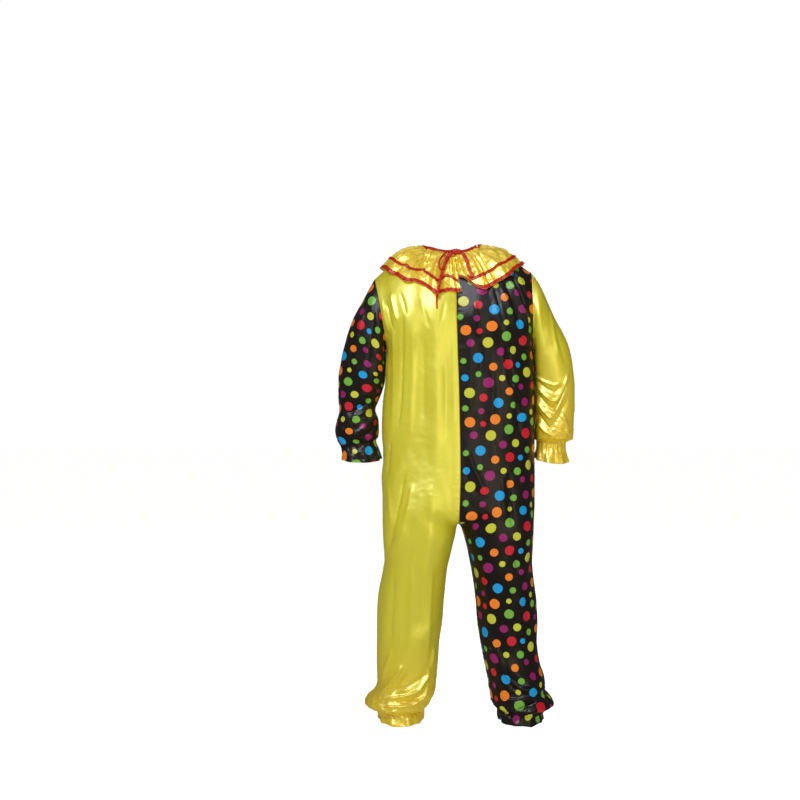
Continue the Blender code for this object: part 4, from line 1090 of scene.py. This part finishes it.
def clear_of(grid, tree, gap):
    """The grid lifted wherever it would come too close to what it covers."""
    way = unit(grid - COLLAR_EYE)
    push = np.zeros(grid.shape[:2])
    rows, count = push.shape
    for j, i in np.ndindex(rows, count):
        out = Vector(way[j, i])
        start = Vector(grid[j, i]) + out * PROBE
        hit = tree.ray_cast(start, -out, 0.05)[0]
        if hit is not None:
            push[j, i] = max(0.0, PROBE - (start - hit).length + gap)
    need = push
    for _ in range(6):
        wide = np.pad(push, 1, mode="edge")
        near = [wide[a:a + rows, b:b + count] for a in range(3) for b in range(3)]
        push = np.maximum(need, np.mean(near, axis=0))
    return grid + way * push[..., None]


columns = collar_columns(tree_of(chest(base_sheets)))
collar_grid = np.stack([collar_line(c) for c in columns], axis=1)
down = even(COLLAR_ROWS)[:, None]
crushed = sum(height * crumple(collar_grid, *how) for height, *how in COLLAR_CRUSH)
crushed += EDGE_CRUSH[0] * crumple(collar_grid, *EDGE_CRUSH[1:]) * blend(0.70, 0.80, down)
crushed = crushed * blend(0.0, 0.08, down)
collar_grid = collar_grid + grid_normals(collar_grid) * crushed[..., None]
collar_grid = clear_of(collar_grid, tree_of(chest(worn_sheets)), BODY_CLEAR)
flat = np.stack(np.broadcast_arrays(lengths(collar_grid[COLLAR_ROWS // 2]),
                                    -np.array([c.width for c in columns]) * down), axis=2)
made = shell("collar_cloth", collar_grid, grid_normals(collar_grid), flat, CLOTH, (COLLAR_YELLOW_PAINTED_WARM,))
finish(made, "collar")


# --- Ribbons ---
def ribbon(node, rows, normals, width, along, turned=False):
    """A ribbon's mesh, hung under the root with its part hidden; width is its own, or one for each
    column.
    """
    flat = np.stack(np.broadcast_arrays(along, -width * even(RIBBON_CELLS)[:, None]), axis=2)
    made = shell(node + "_cloth", rows, normals, flat, RIBBON, (RED,), turned=turned)
    finish(made, node)


def collar_ribbon(node, near, far, end=360):
    """A ribbon that follows the collar between two distances from its neck seam."""
    rows, pucker = [], []
    for i, c in enumerate(columns):
        if 360 * c.share <= end:
            at = near(c) + (far(c) - near(c)) * even(RIBBON_CELLS)
            rows.append(between(at, stops(c), collar_grid[:, i]))
            pucker.append(0.00025 * math.sin(c.share * 2 * math.pi * 95
                                             + 2 * math.sin(c.share * 40)))
    rows = np.stack(rows, axis=1)
    crown = RIBBON * 0.35 * (1 - np.linspace(-1, 1, RIBBON_CELLS + 1) ** 2)
    lift = (CLOTH + RIBBON) / 2 + LAID_GAP + np.array(pucker) + crown[:, None]
    rows = rows + grid_normals(rows) * lift[..., None]
    ribbon(node, rows, grid_normals(rows), np.mean([far(c) - near(c) for c in columns]),
           lengths(rows[RIBBON_CELLS // 2]))
    return rows + grid_normals(rows) * RIBBON / 2


covers = [
    collar_grid + grid_normals(collar_grid) * CLOTH / 2,
    collar_ribbon("neck_ribbon", lambda c: NECK_EDGE, lambda c: NECK_RIBBON),
    collar_ribbon("collar_trim", lambda c: c.trim - TRIM_BAND / 2,
                  lambda c: c.trim + TRIM_BAND / 2, end=TRIM_END),
    collar_ribbon("collar_binding",
                  lambda c: c.width - EDGE_BAND * (1 - 0.45 * blend(340, 352, 360 * c.share)),
                  lambda c: c.width)]
cover = tree_of(chest(base_sheets) + covers)


# --- Bow ---
def depth_at(x, z):
    """The y of what is farthest back near (x, z)."""
    best = -1.0
    for dx in (-BOW_REACH, 0.0, BOW_REACH):
        for dz in (-BOW_REACH, 0.0, BOW_REACH):
            hit = cover.ray_cast(Vector((x + dx, 0.5, z + dz)), Vector((0, -1, 0)), 1.0)[0]
            if hit is not None:
                best = max(best, hit[1])
    return best


def curve(points, step):
    """A smooth line through points, in even steps."""
    along = lengths(points)
    fine = np.linspace(0, along[-1], 400)
    line = np.stack([rounded(fine, along, points[:, k]) for k in range(points.shape[1])], axis=1)
    return spaced(line, even(int(along[-1] / step)))


def bow_strip(node, points, puff, ends):
    """A flat ribbon over what is behind it; points are x, z and width.

    puff is how far its middle stands off, and ends are (share, how far that end stands off).
    """
    x, z, width = curve(points, BOW_STEP).T
    run = unit(np.gradient(np.stack([x, z], axis=1), axis=0))
    raw = np.array([depth_at(*at) for at in zip(x, z)])
    wide = np.array([raw[max(0, k - 3):k + 4].max() for k in range(len(raw))])
    depth = np.array([wide[max(0, k - 3):k + 4].mean() for k in range(len(wide))])
    share = np.linspace(0, 1, len(x))
    depth = np.maximum(depth, raw) + BOW_GAP + puff * np.sin(math.pi * share) ** 0.8
    for start, way in ends:
        depth = depth + way * (1 - blend(0.0, 0.10, np.abs(share - start)))
    c = even(RIBBON_CELLS)[:, None] - 0.5
    roll = BOW_CROWN * (1 - (2 * c) ** 2) + BOW_ROLL * c * np.sin(9 * share * math.pi + 1)
    rows = np.stack([x - run[:, 1] * c * width, depth + roll, z + run[:, 0] * c * width], axis=2)
    normals = grid_normals(rows)
    turned = normals[..., 1].mean() < 0
    ribbon(node, rows, -normals if turned else normals, width,
           lengths(np.stack([x, z], axis=1)),
           turned)


def bow_knot():
    """The tied middle of the bow: a band of gathered ribbon with a wrap across it."""
    wide, deep, high = KNOT_SIZE
    middle = depth_at(*KNOT_AT) + deep * 0.95
    across = np.linspace(-1, 1, 57)
    turn = np.linspace(0, 2 * math.pi, 49)
    grid = np.empty((len(turn), len(across), 3))
    for i, s in enumerate(across):
        body = max(0.0, 1 - abs(s) ** 3.2) ** 0.5
        wrap = 1 + 0.35 * math.exp(-((s - 0.05) / 0.26) ** 4)
        crease = 1 + 0.07 * np.sin(7 * turn + 2.5 * s) + 0.04 * np.sin(13 * turn - 4 * s)
        thick = deep * body * (0.55 + 0.45 * wrap) * crease
        tall = high * body * (0.72 + 0.28 * wrap) * crease
        grid[:, i, 0] = KNOT_AT[0] + wide * s
        grid[:, i, 1] = middle + thick * np.cos(turn)
        grid[:, i, 2] = KNOT_AT[1] + 0.0015 * s + tall * np.sin(turn)
    grid[-1] = grid[0]
    normals = grid_normals(grid)
    flat = np.stack(np.meshgrid(across * wide, turn * high), axis=2)
    turned = float((normals[..., 1] * (grid[..., 1] - middle)).mean()) < 0
    made = shell("bow_knot_cloth", grid, -normals if turned else normals, flat, KNOT_WALL, (RED,),
                 turned=turned)
    finish(made, "bow_knot")


bow_knot()
bow_strip("tail_left", metres(
    (15, -27, 11), (27, -40.5, 12), (36, -58, 10), (44, -82, 8.5), (51, -106, 8.5),
    (57, -132, 8), (62, -158, 8), (64, -182, 5), (63, -204, 4.5)), 0.0006, ((0, 0.003),))
bow_strip("tail_right", metres(
    (-14, -26, 10), (-23, -38.5, 10.5), (-29, -54, 9.5), (-33, -74, 8.5), (-40, -90, 8.5),
    (-47, -103, 9)), 0.0006, ((0, 0.003),))
bow_strip("bow_loop", metres(
    (15, -20, 7), (30, -23.5, 6.5), (42, -36, 6), (53.5, -52, 5.5), (57.5, -68, 5),
    (52, -81, 5), (43, -79, 5.5), (37, -62, 6), (31, -46, 6), (24, -33, 6), (15, -26.5, 6)),
    0.0040, ((0, 0.003), (1, 0.004)))

# --- Floor, light, camera ---
CAMERA_AT = (0.176, 4.5, -0.482)
VIEW_WIDTH = 2.52       # metres across the picture at the suit
COOL, WARM = (0.84, 0.93, 1.0), (1.0, 0.97, 0.60)
FLOOR_Z = -1.553

bpy.ops.mesh.primitive_plane_add(size=60, location=(0, 0, FLOOR_Z))
floor = bpy.context.object
floor.name = "floor"
floor.visible_glossy = False
pale = Nodes("pale_floor")
pale.fill(pale.shader, {"Base Color": (0.25, 0.25, 0.25, 1), "Roughness": 1.0,
                        "Specular IOR Level": 0.0, "Emission Color": (1, 1, 1, 1),
                        "Emission Strength": 0.965})
floor.data.materials.append(pale.material)

camera = bpy.data.objects.new("camera", bpy.data.cameras.new("camera"))
bpy.context.collection.objects.link(camera)
camera.location = CAMERA_AT
camera.rotation_euler = (math.radians(90), 0, math.radians(180))
camera.data.lens = 36 * CAMERA_AT[1] / VIEW_WIDTH
camera.data.clip_end = 100
bpy.context.scene.camera = camera


def area_light(name, at, aim, size, power, colour=(1, 1, 1), shadow=True, soft=True, shine=True):
    """A rectangle of light; soft lights what is matt, and shine what is glossy."""
    data = bpy.data.lights.new(name, "AREA")
    data.shape = "RECTANGLE"
    data.size, data.size_y = size
    data.energy, data.color, data.use_shadow = power, colour, shadow
    made = bpy.data.objects.new(name, data)
    made.visible_diffuse, made.visible_glossy = soft, shine
    bpy.context.collection.objects.link(made)
    made.location = at
    made.rotation_euler = (Vector(aim) - Vector(at)).to_track_quat("-Z", "Y").to_euler()


KEY_AT, FILL_AT = (1.35, 3.4, 2.05), (-1.7, 4.0, -0.5)
area_light("key", KEY_AT, (0, 0, -0.6), (1.4, 1.0), 112, shine=False)
area_light("key_sheen", KEY_AT, (0, 0, -0.6), (2.1, 1.9), 255, COOL, soft=False)
area_light("fill", FILL_AT, (0, 0, -0.9), (1.3, 1.3), 44, shine=False)
area_light("fill_sheen", FILL_AT, (0, 0, -0.8), (0.5, 2.6), 28, WARM, soft=False)
area_light("top", (0, 0.6, 3.0), (0, 0, 0), (3.0, 3.0), 16, shadow=False)
area_light("front", (-0.6, -4.3, 1.4), (0, 0, -0.6), (1.8, 1.4), 120, shadow=False)

# a dim warm room for the suit, and white paper for the camera
world = bpy.data.worlds.new("studio")
bpy.context.scene.world = world
world.use_nodes = True
tree = world.node_tree
room = tree.nodes["Background"]
room.inputs[0].default_value = (1.0, 0.97, 0.86, 1)
room.inputs[1].default_value = 0.12
paper = tree.nodes.new("ShaderNodeBackground")
paper.inputs[0].default_value = (1, 1, 1, 1)
both = tree.nodes.new("ShaderNodeMixShader")
for k, output in enumerate((tree.nodes.new("ShaderNodeLightPath").outputs["Is Camera Ray"],
                            room.outputs[0], paper.outputs[0])):
    tree.links.new(output, both.inputs[k])
tree.links.new(both.outputs[0], tree.nodes["World Output"].inputs[0])
bpy.context.scene.view_settings.view_transform = "Standard"
